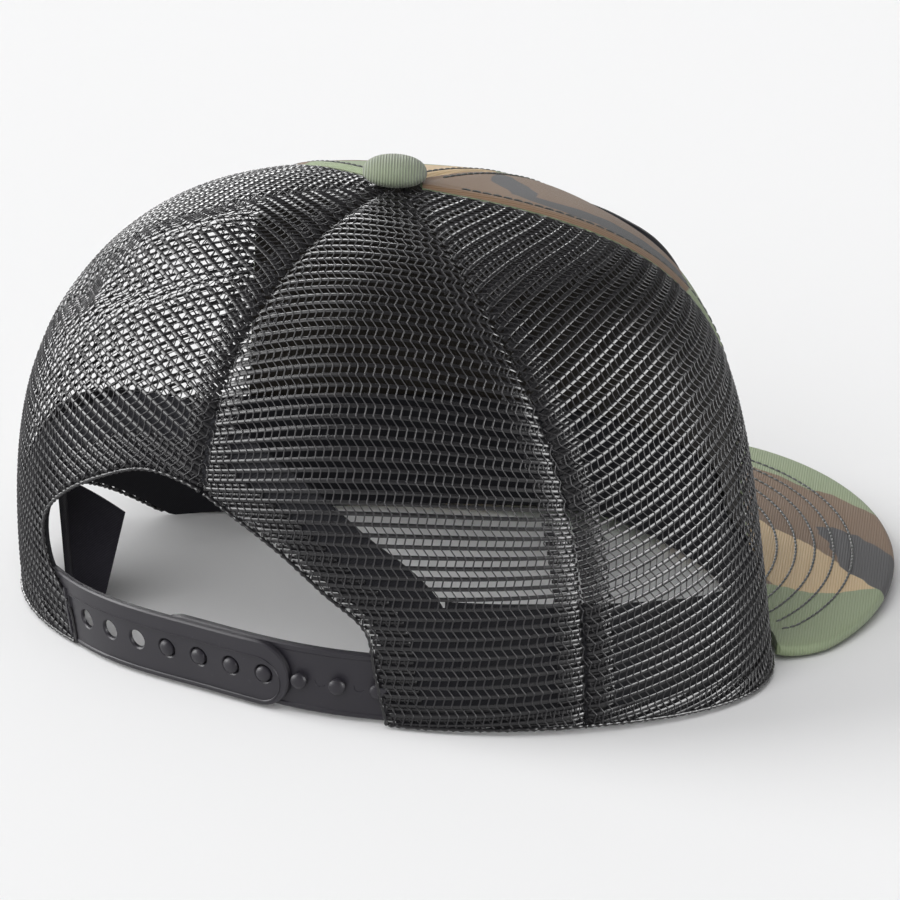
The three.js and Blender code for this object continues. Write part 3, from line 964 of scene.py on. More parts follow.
@dataclass
class Netting:
    """Netting of one gore: flat ribbons in rows with zigzag strands over them."""

    gore: Gore
    arch: np.ndarray | None = None
    cell: float = 2.03
    pitch: float = 2.45
    ribbon: float = 1.02
    ribbon_thick: float = 0.14
    strand: float = 0.36
    strand_thick: float = 0.26
    sway: float = 0.5
    skew: float = 0.0
    depth: float = 0.62
    fold: float = 7.0
    hem_fold: float = 6.0
    top_fold: float = 0.9
    grain: float = 0.0
    seed: int = 1
    shape: Shape = field(default_factory=Shape)

    def locate(self, x: np.ndarray, v: np.ndarray) -> tuple[np.ndarray, np.ndarray]:
        """Finds points of the net on the panel: the grain turns them on the flat cloth.

        Args:
            x, v: places along and across the rows.

        Returns:
            s and t.
        """
        turn = math.radians(self.grain)
        cos, sin = math.cos(turn), math.sin(turn)
        return self.gore.find(x * cos - v * sin, x * sin + v * cos)

    def span(self) -> tuple[float, float, float]:
        """How far the net is laid: past the panel's half width by what the grain shifts.

        Returns:
            Reach along the rows from the middle, and the first and last row.
        """
        slip = self.gore.climb[-1] * abs(math.sin(math.radians(self.grain)))
        return self.gore.half.max() + 4 + slip, -0.2 * slip - 6, self.gore.climb[-1] * 1.25

    def kept(self, x: np.ndarray, v: np.ndarray, folds: bool) -> np.ndarray:
        """Whether points are on the panel, and in its folds if only those are asked for.

        Args:
            x, v: places along and across the rows.
            folds: whether to keep only the doubled cloth along the seams, hem and arch.

        Returns:
            Truth values.
        """
        s, t = self.locate(x, v)
        seam = self.gore.to_seam(s, t)
        angle = self.gore.angle(s, t)
        wave = self.gore.crown.hem(angle)
        height = self.gore.crown.smooth_point(angle, s)[..., 2]
        keep = (seam > 0.12) & (s > 0.004) & (s < self.gore.top) & ((wave < 0.1) | (height > wave + 0.4))
        climb = np.interp(s, self.gore.s, self.gore.climb)
        folded = (seam < self.fold) | (climb < self.hem_fold) | (height < wave + self.hem_fold)
        folded |= s > self.top_fold
        if self.arch is not None:
            point = self.gore.crown.smooth_point(angle, s)[..., [0, 2]].reshape(-1, 2)
            edge = distance_to(point, self.arch).reshape(keep.shape)
            keep &= ~within(point, self.arch).reshape(keep.shape) & (edge > 0.35)
            folded |= edge < self.fold + 1.5
        return keep & folded if folds else keep

    def ribbons(self, layer: float, folds: bool, offset: float, random: np.random.Generator) -> None:
        """Adds the ribbons: a flat six-sided section carried along each row, tilted a little
        by an angle that wanders from row to row and along it.

        Args:
            layer: depth below the crown's face.
            folds: whether only the folds are covered.
            offset: shift of the rows, as a share of the pitch.
            random: source of the tilts.
        """
        reach, first, last = self.span()
        fine = np.arange(-reach, reach, 0.2)
        rows = (np.arange(math.floor(first / self.pitch), last / self.pitch) + 0.5 + offset) * self.pitch
        mask = self.kept(*np.meshgrid(fine, rows), folds)
        half = self.ribbon / 2
        ring_v = np.array([-1.0, -0.88, 0.88, 1.0, 0.88, -0.88]) * half
        ring_d = np.array([0, 1, 1, 0, -1, -1]) * self.ribbon_thick / 2
        for row, line in zip(rows, mask):
            lean, drift, phase = random.normal(0, 0.07), random.normal(0, 0.06), random.uniform(0, 6.3)
            for a, b in runs(line):
                inner = np.arange(math.ceil(fine[a] / self.cell + 0.2), fine[b] / self.cell - 0.2) * self.cell
                x = np.concatenate([[fine[a]], inner, [fine[b]]])
                tilt = (lean + drift * np.sin(x / 11 + phase))[:, None]
                v = row + ring_v * np.ones_like(tilt)
                out = ring_d + tilt * ring_v
                across = x[:, None] * np.ones_like(v)
                height = np.stack([across, out], -1)
                self.shape.grid(np.stack([across, v, out - layer], -1), wrap=True, caps=True, flat=height)

    def strands(self, layer: float, folds: bool, offset: float) -> None:
        """Adds the strands: each slants across a row of holes, turns on the ribbon and slants
        back across the next row, on the outer side of the ribbons.

        Args:
            layer: depth below the crown's face.
            folds: whether only the folds are covered.
            offset: shift of the rows, as a share of the pitch.
        """
        reach, first, last = self.span()
        reach += abs(self.skew) * last
        columns = np.arange(-math.floor(reach / self.cell), reach / self.cell) * self.cell + offset
        fine = np.arange(first, last, 0.2)
        across, up = np.meshgrid(columns, fine, indexing="ij")
        mask = self.kept(across + self.skew * up, up, folds)
        holes = np.arange(math.floor(first / self.pitch), last / self.pitch + 1)[:, None]
        end = 0.5 * self.pitch - 0.17
        steps = np.array([-end, -0.2 * self.pitch, 0.2 * self.pitch, end])
        slant = np.array([-1.0, -0.42, 0.42, 1.0])
        over = self.ribbon_thick / 2 + self.strand_thick * 0.42
        v_path = ((holes + offset) * self.pitch + steps).ravel()
        x_path = (np.where(holes % 2, -1, 1) * slant * self.sway).ravel() + self.skew * v_path
        d_path = (np.array([1.0, 0.3, 0.3, 1.0]) * over * np.ones_like(holes)).ravel()
        ring_x = np.array([-0.5, 0.0, 0.5, 0.0]) * self.strand
        ring_d = np.array([0.0, 0.55, 0.0, -0.45]) * self.strand_thick
        for column, line in zip(columns, mask):
            for a, b in runs(line):
                inner = v_path[(v_path > fine[a] + 0.15) & (v_path < fine[b] - 0.15)]
                v = np.concatenate([[fine[a]], inner, [fine[b]]])[:, None]
                x = column + np.interp(v, v_path, x_path) + ring_x
                out = np.interp(v, v_path, d_path) + ring_d
                v = v * np.ones_like(x)
                height = np.stack([x, out + 1], -1)
                self.shape.grid(np.stack([x, v, out - layer], -1), wrap=True, caps=True, flat=height, turn=True)

    def roll(self, angle: np.ndarray, s: np.ndarray, radius: float = 0.42) -> None:
        """Adds the roll of a folded edge: a circle carried along it, whose radius swells and
        shrinks with each cell.

        Args:
            angle, s: the middle of the roll.
            radius: its radius.
        """
        crown = self.gore.crown
        line = crown.inside(angle, s, radius + 0.1)
        lengths = reach_of(line)
        places = np.arange(0, lengths[-1], self.cell / 4)
        angle, s = np.interp(places, lengths, angle), np.interp(places, lengths, s)
        line = crown.inside(angle, s, radius + 0.1)
        out = crown.normal(angle, s)
        side = unit(np.cross(out, np.gradient(line, axis=0)))
        turn = np.arange(8) / 8 * 2 * math.pi
        beat = np.sin(places * 2 * math.pi / self.cell) + 0.6 * np.sin(places * 4.1)
        swell = radius * (1 + 0.26 * beat)[:, None, None]
        ring = side[:, None] * np.cos(turn)[:, None] + out[:, None] * np.sin(turn)[:, None]
        self.shape.grid(line[:, None] + ring * swell, wrap=True, caps=True)

    def edges(self) -> None:
        """Adds the rolls along the hem and, on a back panel, along the arch."""
        gore, crown = self.gore, self.gore.crown
        t = np.linspace(-1, 1, 80)
        angle = gore.angle(0.006, t)
        if self.arch is not None:
            point = crown.smooth_point(angle, 0.006)[:, [0, 2]]
            angle = angle[~within(point, self.arch)]
            path = self.arch[(self.arch[:, 1] > 0.5)]
            path = path[(path[:, 0] > 0) == (gore.start < 0)]
            self.roll(*crown.on_back(path[:, 0], path[:, 1]))
        low = np.maximum(crown.at_height(angle, crown.hem(angle) + 0.3), 0.005)
        self.roll(angle, low)

    def build(self) -> Shape:
        """Lays both layers and puts them on the crown, sunk a little along the seams.

        Returns:
            The netting in the cap's frame.
        """
        random = np.random.default_rng(self.seed)
        for layer, folds, offset in ((self.depth, False, 0.0), (self.depth + 0.6, True, 0.43)):
            self.ribbons(layer, folds, offset, random)
            self.strands(layer, folds, offset)
        flat = np.concatenate(self.shape.points)
        s, t = self.locate(flat[:, 0], flat[:, 1])
        seam = np.maximum(self.gore.to_seam(s, t), 0)
        depth = -flat[:, 2] + 0.85 * np.exp(-((seam / 1.5) ** 2))
        climb = np.interp(s, self.gore.s, self.gore.climb)
        climb = climb - self.gore.crown.hem(self.gore.angle(s, t))
        depth += 0.35 * np.exp(-(((climb - self.hem_fold + 0.6) / 0.9) ** 2))
        placed = self.gore.crown.inside(self.gore.angle(s, t), s, depth)
        self.shape.points = [placed]
        self.edges()
        return self.shape


@dataclass
class Stitches:
    """Rows of dashed stitches, each a low rounded bar lying on its cloth."""

    pitch: float = 2.5
    length: float = 2.32
    width: float = 0.7
    thick: float = 0.46
    shape: Shape = field(default_factory=Shape)

    def row(self, path: np.ndarray, out: np.ndarray) -> None:
        """Adds a row: five stations a stitch whose width follows a half circle, six sides.

        Args:
            path: points of the row, n by 3.
            out: the cloth's outward normals there, n by 3.
        """
        total = path_length(path)
        starts = np.arange(0.5, total - self.length, self.pitch)
        if not len(starts):
            return
        station = np.array([0.0, 0.12, 0.5, 0.88, 1.0])
        swell = np.array([0.25, 0.8, 1.0, 0.8, 0.25])
        lengths = reach_of(path)
        places = starts[:, None] + station * self.length
        line = pick(places, lengths, path)
        up = unit(pick(places, lengths, out))
        side = unit(np.cross(up, np.gradient(line, axis=1)))
        turn = np.arange(6) / 6 * 2 * math.pi
        wide = swell[None, :, None, None] * np.cos(turn)[:, None] * side[:, :, None] * self.width / 2
        tall = swell[None, :, None, None] * np.sin(turn)[:, None] * up[:, :, None] * self.thick / 2
        lift = up[:, :, None] * (swell[None, :, None, None] - 0.75) * self.thick * 0.6
        for bar in line[:, :, None] + wide + tall + lift:
            self.shape.grid(bar, wrap=True, caps=True)


@dataclass
class ClothPanel:
    """A panel of cloth with its wall, from the outer face to the inner one."""

    gore: Gore
    wall: float = 1.3
    rows: int = 110
    cols: int = 60

    def build(self) -> Shape:
        """The wall: a closed section of outer and inner columns carried from hem to top. The
        face sinks by a bell curve along the seams and along the hem's stitching.

        Returns:
            The panel.
        """
        gore = self.gore
        s = np.linspace(0.0, gore.top, self.rows)[:, None]
        half = np.interp(s, gore.s, gore.half)
        t = np.linspace(-1, 1, self.cols)[None] * (1 - 0.03 / half)
        angle = gore.angle(s, t)
        seam = gore.to_seam(s, t)
        sink = 0.75 * np.exp(-((seam / 1.1) ** 2)) + 0.18 * np.exp(-(((seam - 3.4) / 0.8) ** 2))
        sink = sink - 0.12 * np.exp(-(((seam - 1.9) / 0.9) ** 2))
        outer = gore.crown.inside(angle, s, sink + 0.1)
        inner = gore.crown.inside(angle, s, self.wall + 0.4 * np.exp(-((seam / 1.1) ** 2)))
        flat = np.stack(gore.lay(s * np.ones_like(t), t * np.ones_like(s)), -1)
        # The inner face's coordinates, where the twill paints it dark brown: partly a dark backing, partly
        # painted shade inside the crown.
        inner_face_shade = flat[:, ::-1] + (1000.0, 0.0)
        return Shape().wall(outer, inner, np.concatenate([flat, inner_face_shade], axis=1), turn=True)

    def seam_line(self, side: int, distance: float, low: float, high: float) -> tuple[np.ndarray, np.ndarray]:
        """A line on the face at a distance from a side seam.

        Args:
            side: -1 or 1, which seam.
            distance: distance from it.
            low, high: the s where it starts and ends.

        Returns:
            Points and outward normals.
        """
        s = np.linspace(low, high, 90)
        t = side * (1 - distance / np.interp(s, self.gore.s, self.gore.half))
        angle = self.gore.angle(s, t)
        return self.gore.crown.inside(angle, s, 0.12), self.gore.crown.normal(angle, s)


@dataclass
class Peak:
    """The peak: cloth over a board, quilted with rows of stitches along its outer edge."""

    crown: Crown
    reach: float = 68.0
    side_out: float = 6.0
    straight: float = 15.0
    end: float = 75.0
    thick: float = 2.8
    arch: float = 1.5
    side_lift: float = 0.6
    tip_rise: float = 5.0
    power: float = 1.8
    first_row: float = 10.3
    row_pitch: float = 4.65
    row_count: int = 9
    groove: float = 0.24
    groove_half: float = 0.75
    stitch_lift: float = 0.14

    def __post_init__(self) -> None:
        """Works out the outer and inner edges in plan."""
        ends = self.crown.smooth_point(self.end, 0)
        self.tip = self.crown.smooth_point(0, 0)[1] - self.reach
        self.turn = ends[1] - self.straight
        self.width = abs(ends[0]) + self.side_out
        u = np.linspace(-1, 1, 241)
        self.outer = self.outer_edge(u)
        self.inner = self.crown.inside(u * self.end, 0 * u, -0.45)[:, :2]

    def outer_edge(self, u: np.ndarray) -> np.ndarray:
        """Outer edge in plan: a super-ellipse of the given power round the front, then two
        sides that run back and draw in to the crown.

        Args:
            u: from the wearer's left end (-1) to the right one (1).

        Returns:
            x and y.
        """
        share, size = 0.1, np.abs(u)
        bend = np.minimum(size / (1 - share), 1) * math.pi / 2
        x = np.sin(bend) ** (2 / self.power) * self.width
        y = self.turn + np.cos(bend) ** (2 / self.power) * (self.tip - self.turn)
        last = np.clip((size - 1 + share) / share, 0, 1)
        x = x - self.side_out * 0.85 * last * last
        y = np.where(size > 1 - share, self.turn + last * self.straight, y)
        return np.stack([-np.sign(u) * x, y], -1)

    def top(self, plan: np.ndarray) -> np.ndarray:
        """Height of the upper face: it rises toward the tip, arches toward the crown, and
        dips by a bell curve at each row of stitches and over the rounded rim.

        Args:
            plan: x and y, n by 2.

        Returns:
            n heights.
        """
        out, back = distance_to(plan, self.outer), distance_to(plan, self.inner)
        m = back / np.maximum(out + back, 1e-6)
        rise = self.tip_rise * np.clip((self.turn - plan[:, 1]) / (self.turn - self.tip), 0, 1)
        z = self.side_lift + rise + self.arch * (1 - m * m) + self.thick
        rows = self.first_row + self.row_pitch * np.arange(self.row_count)
        for row in rows:
            z = z - self.groove * np.exp(-(((out - row) / self.groove_half) ** 2))
        return z

    def build(self) -> Shape:
        """The board: for each place along the edge, a closed section from the crown out over
        the top, round the rim and back underneath.

        Returns:
            The peak, with plan coordinates as its flat ones.
        """
        u = np.linspace(-1, 1, 161)
        inner = self.crown.inside(u * self.end, 0 * u, -0.45)[:, None, :2]
        outer = self.outer_edge(u)[:, None]
        share = np.concatenate([np.linspace(0, 0.96, 120), [0.975, 0.985]])[None, :, None]
        half = self.thick / 2
        rim = np.linspace(math.pi / 2, -math.pi / 2, 9)[None, 1:-1, None]
        away = unit(outer - inner)
        rim_plan = outer + away * (np.cos(rim) - 1) * half
        plan = inner + (outer + away * -half - inner) * share / 0.985
        under = plan[:, ::-1]
        full = np.concatenate([plan, rim_plan, under], axis=1)
        z_top = self.top(plan.reshape(-1, 2)).reshape(plan.shape[:2])
        edge = z_top[:, -1:] - half
        z_rim = edge + np.sin(rim[..., 0]) * half
        z_under = z_top[:, ::-1] - self.thick
        z = np.concatenate([z_top, z_rim, z_under], axis=1)
        shape = Shape()
        shape.grid(np.concatenate([full, z[..., None]], -1), wrap=True, caps=True, flat=full)
        return shape

    def stitch_rows(self, stitches: Stitches) -> None:
        """Adds the rows: curves at fixed distances inside the outer edge, kept where they lie
        on the peak in front of the crown.

        Args:
            stitches: what they are added to.
        """
        edge = along(self.outer, np.linspace(0, path_length(self.outer), 500))
        ahead = np.gradient(edge, axis=0)
        inward = unit(np.stack([-ahead[:, 1], ahead[:, 0]], -1))
        if ((edge[250] + inward[250]) - edge[250])[1] < 0:
            inward = -inward
        for k in range(self.row_count):
            offset = self.first_row + self.row_pitch * k
            line = edge + inward * offset
            near = distance_to(line, self.outer) > offset - 0.25
            hem = np.concatenate([self.inner, [[0.0, 60.0]]])
            keep = near & ~within(line, hem) & (distance_to(line, self.inner) > 1.5)
            for a, b in runs(keep & (line[:, 1] < self.turn + self.straight)):
                points = np.concatenate([line[a:b], self.top(line[a:b])[:, None] + self.stitch_lift], 1)
                up = np.tile([0.0, 0.0, 1.0], (len(points), 1))
                stitches.row(points, up)


@dataclass
class FrontPatch:
    """A plain patch with a raised, over-sewn border, on both front panels."""

    crown: Crown
    width: float = 84.0
    turn: float = 18.0
    low: float = 42.0
    high: float = 92.0
    border: float = 3.2

    def build(self) -> Shape:
        """A plate over the front: a grid squared off between two angles and two heights with
        its corners pulled in, thicker along the border by a rounded bead.

        Returns:
            The patch.
        """
        u = np.linspace(-1, 1, 90)[None]
        w = np.linspace(-1, 1, 60)[:, None]
        corner = 0.12
        squeeze = 1 - corner * np.clip(np.abs(w) * np.ones_like(u) - 0.8, 0, 1) ** 2 / 0.04 * 0.5
        raise_ = 1 - corner * np.clip(np.abs(u) * np.ones_like(w) - 0.8, 0, 1) ** 2 / 0.04 * 0.5
        base = math.degrees(self.width / 2 / (self.crown.column(0, np.zeros(1))[0] * self.crown.hem_radius))
        height = (w * raise_ + 1) / 2 * (self.high - self.low) + self.low
        s = self.crown.at_height(0 * height, height)
        angle = u * squeeze * (base + self.turn * s)
        s = self.crown.at_height(angle, height)
        rim = np.minimum((1 - np.abs(u)) * self.width / 2, (1 - np.abs(w)) * (self.high - self.low) / 2)
        bead = np.sqrt(np.clip(1 - ((rim - self.border / 2) / (self.border / 2)) ** 2, 0, 1))
        outer = self.crown.inside(angle, s, -0.85 - 0.55 * bead)
        inner = self.crown.inside(angle, s, -0.05)
        return Shape().wall(outer, inner, turn=True)


@dataclass
class InnerStrip:
    """A strip of black cloth inside the crown: the sweatband or the arch's tape."""

    crown: Crown
    wall: float = 1.0
    band_end: float = 142.0
    band_depth: float = 2.15
    band_top: float = 32.0
    band_rise: float = 0.9
    # The band's top edge sags at the side: how much, at which angle, over how many degrees.
    sag: tuple[float, float, float] = (5.5, 85.0, 30.0)
    tape_depth: float = 1.75
    tape_low: float = 1.8
    tape_high: float = 17.0
    tape_foot: float = 0.4

    def sweatband(self) -> Shape:
        """The band: a closed section from a little above the hem to its height, carried round
        from one side of the arch to the other, with slow waves.

        Returns:
            The band.
        """
        angle = np.linspace(-self.band_end, self.band_end, 260)[:, None]
        share = np.linspace(0, 1, 16)[None]
        wave = self.crown.hem(angle)
        lift = self.crown.column(4, angle) * self.crown.front_lift
        sag, at, spread = self.sag
        top = self.band_top + 0.5 * wave - sag * np.exp(-(((angle - at) / spread) ** 2))
        height = (wave + lift + self.band_rise) * (1 - share) + top * share
        s = self.crown.at_height(angle, height)
        rough = 0.22 * np.sin(np.radians(angle) * 9) + 0.16 * np.sin(np.radians(angle) * 23 + 1) * (height / 33)
        hollow = 0.35 * np.exp(-(((share - 0.9) / 0.03) ** 2)) - 0.2 * np.exp(-(((share - 0.05) / 0.04) ** 2))
        outer = self.crown.inside(angle, s, self.band_depth + rough)
        inner = self.crown.inside(angle, s, self.band_depth + self.wall + rough - hollow)
        return Shape().wall(outer, inner)

    def tape(self) -> Shape:
        """The tape: a closed section between two distances outside the arch's edge, carried
        along the edge from leg to leg.

        Returns:
            The tape.
        """
        edge = self.crown.arch_path()
        edge = along(edge, np.linspace(0, path_length(edge), 160))
        kernel = np.hanning(25) / np.hanning(25).sum()
        ahead = np.gradient(edge, axis=0)
        padded = np.pad(ahead, ((12, 12), (0, 0)), mode="edge")
        ahead = np.stack([np.convolve(padded[:, i], kernel, "valid") for i in (0, 1)], -1)
        away = unit(np.stack([-ahead[:, 1], ahead[:, 0]], -1))
        across = np.linspace(self.tape_low, self.tape_high, 14)
        plane = edge[:, None] + away[:, None] * across[None, :, None]
        plane = plane[(edge[:, 1] > self.tape_foot)]
        angle, s = self.crown.on_back(plane[..., 0], np.maximum(plane[..., 1], self.tape_foot))
        seams = self.tape_low + 1.6, self.tape_high - 1.6
        dip = sum(0.25 * np.exp(-(((across - at) / 0.7) ** 2)) for at in seams)
        outer = self.crown.inside(angle, s, self.tape_depth)
        inner = self.crown.inside(angle, s, self.tape_depth + self.wall - dip)
        return Shape().wall(outer, inner)


@dataclass
class SnapStrap:
    """The plastic strap's two halves, one with holes and one with studs."""

    crown: Crown
    height: float = 16.6
    lift: float = 0.5
    bow: float = 6.2
    lean: float = -1.6
    bow_half: float = 50.0
    bow_power: float = 1.3
    wall: float = 1.3
    hole_pitch: float = 9.0
    first_hole: float = 36.1
    hole_radius: float = 2.2
    hidden: float = 54.0
    end_margin: float = 6.6
    outer_depth: float = 1.5
    inner_depth: float = 3.1
    recess_start: float = 42.9
    rib_at: float = 44.1

    def place(self, x: np.ndarray, h: np.ndarray, depth: np.ndarray) -> np.ndarray:
        """Points of the strap. It bends with the back wall, and bows out further in its middle,
        where its lower edge stands out most.

        Args:
            x: places along it.
            h: heights above its lower edge.
            depth: depths below the crown's face.

        Returns:
            Points in the cap's frame.
        """
        table_x = np.linspace(-58, 58, 117)
        table_angle, _ = self.crown.on_back(table_x, self.lift + self.height / 2)
        angle = np.interp(x, table_x, table_angle)
        s = self.crown.at_height(angle, self.lift + h)
        reach = self.bow + self.lean * (h / self.height - 0.5)
        out = np.maximum(1 - (np.asarray(x) / self.bow_half) ** 2, 0) ** self.bow_power * reach
        return self.crown.inside(angle, s, depth) + np.stack([0 * out, out, 0 * out], -1)

    def finely(self, loop: np.ndarray) -> np.ndarray:
        """Cuts the long sides of a closed loop into steps of about 1.5.

        Args:
            loop: its corners, n by 2.

        Returns:
            The finer loop.
        """
        parts = []
        for a, b in zip(loop, np.roll(loop, -1, axis=0)):
            count = max(1, round(float(np.linalg.norm(b - a)) / 1.5))
            parts.append(a + (b - a) * np.arange(count)[:, None] / count)
        return np.concatenate(parts)

    def outline(
        self, square: float, rounded: float, low: float, high: float, inset: float, steps: int = 41
    ) -> np.ndarray:
        """Outline of a half or of its sunk face: square at one end, a half circle at the other.

        Args:
            square: where its square end lies along the strap.
            rounded: where its round end lies.
            low, high: heights of its lower and upper edges.
            inset: how far the line lies inside these.
            steps: points of the half circle.

        Returns:
            A closed loop, n by 2.
        """
        side = 1 if square > rounded else -1
        radius = (high - low) / 2 - inset
        turn = np.linspace(math.pi / 2, 3 * math.pi / 2, steps)
        centre = rounded + side * (radius + inset)
        arc = np.stack([centre + side * radius * np.cos(turn), (low + high) / 2 + radius * np.sin(turn)], -1)
        ends = [[square - side * inset, low + inset], [square - side * inset, high - inset]]
        return self.finely(np.concatenate([ends, arc]))

    def plate(
        self,
        outlines: list[np.ndarray],
        sunk: list[np.ndarray],
        holes: list[float],
        depth: float,
        sink: float,
    ) -> Shape:
        """A plate with round holes: its face is cut into triangles between the outlines, the
        rings round the holes and a loose grid, and a copy behind it is joined by walls.

        Args:
            outlines: the edge, and the same line a little inside it.
            sunk: the sunk face's edge and the foot of its step.
            holes: places of the holes along the strap.
            depth: depth of the face below the crown's.
            sink: depth of the sunk face.

        Returns:
            The plate.
        """
        middle = self.height / 2
        turn = np.arange(28) / 28 * 2 * math.pi
        circle = np.stack([np.cos(turn), np.sin(turn)], -1)
        rings = [[(x, middle) + circle * r for x in holes] for r in (self.hole_radius, self.hole_radius + 0.3)]
        loops = [*outlines, *sunk, *rings[0], *rings[1]]
        points, edges, start = [], [], 0
        for loop in loops:
            points += [Vector(p) for p in loop]
            edges += [(start + i, start + (i + 1) % len(loop)) for i in range(len(loop))]
            start += len(loop)
        low, high = outlines[0].min(0), outlines[0].max(0)
        gx, gy = np.meshgrid(np.arange(low[0] + 1, high[0], 1.6), np.arange(1.8, self.height - 1, 1.6))
        loose = np.stack([gx.ravel(), gy.ravel()], -1)
        clear = within(loose, outlines[1])
        for loop in loops:
            clear &= distance_to(loose, np.concatenate([loop, loop[:1]])) > 0.5
        for x in holes:
            clear &= np.linalg.norm(loose - (x, middle), axis=1) > self.hole_radius + 0.6
        points += [Vector(p) for p in loose[clear]]
        verts, _, faces, *_ = delaunay_2d_cdt(points, edges, [], 0, 1e-5)
        flat = np.array([v[:] for v in verts])
        tri = np.array([f[:] for f in faces])
        centre = flat[tri].mean(1)
        keep = within(centre, outlines[0])
        for ring in rings[0]:
            keep &= ~within(centre, ring)
        tri = tri[keep]
        area = np.cross(flat[tri[:, 1]] - flat[tri[:, 0]], flat[tri[:, 2]] - flat[tri[:, 0]])
        tri = np.where((area < 0)[:, None], tri[:, ::-1], tri)
        edge = distance_to(flat, np.concatenate([outlines[0], outlines[0][:1]]))
        into = 0.3 * np.clip(1 - edge / 0.35, 0, 1)
        if sunk:
            inside = within(flat, sunk[0]) | (distance_to(flat, np.concatenate([sunk[0], sunk[0][:1]])) < 1e-3)
            step = distance_to(flat, np.concatenate([sunk[0], sunk[0][:1]]))
            into = into + np.where(inside, sink * np.clip(step / 0.25, 0, 1), 0)
        for x in holes:
            away = np.linalg.norm(flat - (x, middle), axis=1) - self.hole_radius
            into = into + 0.28 * np.clip(1 - away / 0.3, 0, 1)
        front = self.place(flat[:, 0], flat[:, 1], depth + into)
        back = self.place(flat[:, 0], flat[:, 1], np.full(len(flat), depth + self.wall))
        n = len(flat)
        pairs = np.concatenate([tri[:, [0, 1]], tri[:, [1, 2]], tri[:, [2, 0]]])
        known = {tuple(p) for p in pairs}
        rim = np.array([p for p in pairs if (p[1], p[0]) not in known])
        walls = np.stack([rim[:, 1], rim[:, 0], rim[:, 0] + n, rim[:, 1] + n], -1)
        shape = Shape()
        shape.add(np.concatenate([front, back]), [tri, tri[:, ::-1] + n, walls])
        shape.faces = [part[:, ::-1] for part in shape.faces]
        return shape

    def bar(self, shape: Shape, path: np.ndarray, depth: float, wide: float, tall: float) -> None:
        """Adds a low moulded ridge along a line on the strap.

        Args:
            shape: the half that it stands on.
            path: x and h of the line.
            depth: depth of the face that it stands on.
            wide, tall: its width and height.
        """
        ahead = np.gradient(path, axis=0)
        side = unit(np.stack([-ahead[:, 1], ahead[:, 0]], -1))
        offset = np.array([-0.5, -0.3, 0.3, 0.5, 0.0]) * wide
        level = np.array([0.2, -1.0, -1.0, 0.2, 0.3]) * tall
        flat = path[:, None] + side[:, None] * offset[None, :, None]
        points = self.place(flat[..., 0], flat[..., 1], depth + level[None] * np.ones(flat.shape[:2]))
        shape.grid(points, wrap=True, caps=True)

    def holes_half(self) -> Shape:
        """The outer half: seven holes in a sunk face, and an upright rib by the cloth.

        Returns:
            The half with holes.
        """
        holes = [self.first_hole - self.hole_pitch * i for i in range(7)]
        end = holes[-1] - self.end_margin
        outlines = [self.outline(self.hidden, end, 0.0, self.height, inset) for inset in (0.0, 0.35)]
        sunk = [self.outline(self.recess_start, end + 2.2, 1.0, 12.6, inset, 33) for inset in (0.0, 0.25)]
        shape = self.plate(outlines, sunk, holes, self.outer_depth, 0.3)
        self.bar(shape, sunk[0][:-8], self.outer_depth, 0.36, 0.2)
        rib = np.stack([np.full(9, self.rib_at), np.linspace(2.6, 13.8, 9)], -1)
        self.bar(shape, rib, self.outer_depth, 1.0, 0.55)
        return shape

    def studs_half(self) -> Shape:
        """The inner half: a plate with a raised rim, seven studs and small mould marks.

        Returns:
            The half with studs.
        """
        first = self.first_hole - 3 * self.hole_pitch
        end = first + self.end_margin - 3
        outlines = [self.outline(-self.hidden, end, 0.0, self.height, inset) for inset in (0.0, 0.35)]
        sunk = [self.outline(-46.0, end - 1.4, 1.2, 15.2, inset, 33) for inset in (0.0, 0.25)]
        shape = self.plate(outlines, sunk, [], self.inner_depth, 0.2)
        # A stud's profile from its foot to its tip: radius, and height above the sunk face.
        radius = np.array([1.5, 1.48, 1.54, 1.86, 1.93, 1.82, 1.48, 0.9, 0.3])
        level = np.array([0.6, 0.2, -0.9, -1.05, -1.35, -1.75, -2.1, -2.32, -2.38])
        turn = np.arange(22) / 22 * 2 * math.pi
        for i in range(7):
            x = first - i * self.hole_pitch
            across = x + radius[:, None] * np.cos(turn)
            up = self.height / 2 + radius[:, None] * np.sin(turn)
            points = self.place(across, up, self.inner_depth + 0.2 + level[:, None] * np.ones_like(across))
            shape.grid(points, wrap=True, caps=True)
            if i >= 4:
                arc = np.linspace(-2.6, 0.2, 12)
                mark = np.stack([x + 4.6 + 1.2 * np.cos(arc), self.height / 2 - 0.3 + 1.2 * np.sin(arc)], -1)
                self.bar(shape, mark, self.inner_depth + 0.2, 0.3, 0.1)
        return shape


@dataclass
class CareLabel:
    """A bare label folded in two that hangs inside the cap."""

    thick: float = 0.45
    # The top and bottom of the fold and of each leaf's free edge, and each leaf's bend.
    fold: tuple[tuple[float, ...], ...] = ((61.0, 61.0, 33.0), (57.0, 61.0, 5.0))
    leaves: tuple[tuple[tuple[float, ...], ...], ...] = (
        ((46.0, 57.0, 26.8), (50.8, 58.0, 3.5)),
        ((61.6, 63.2, 33.0), (57.6, 63.0, 5.0)),
    )
    bends: tuple[float, float] = (0.9, 0.4)

    def build(self) -> Shape:
        """Two leaves from one fold: each a grid between two upright lines, bent slightly.

        Returns:
            The label.
        """
        shape = Shape()
        fold, leaves = np.array(self.fold), np.array(self.leaves)
        share = np.linspace(0, 1, 15)[None, :, None]
        drop = np.linspace(0, 1, 19)[:, None, None]
        for free, bow in zip(leaves, self.bends):
            near = fold[0] + (fold[1] - fold[0]) * drop
            far = free[0] + (free[1] - free[0]) * drop
            sheet = near + (far - near) * share
            out = unit(np.cross(free[0] - fold[0], fold[1] - fold[0]))
            sheet = sheet + out * bow * np.sin(share * math.pi) * (1 - 0.3 * drop)
            front, back = sheet + out * self.thick / 2, sheet - out * self.thick / 2
            shape.wall(front, back)
        return shape


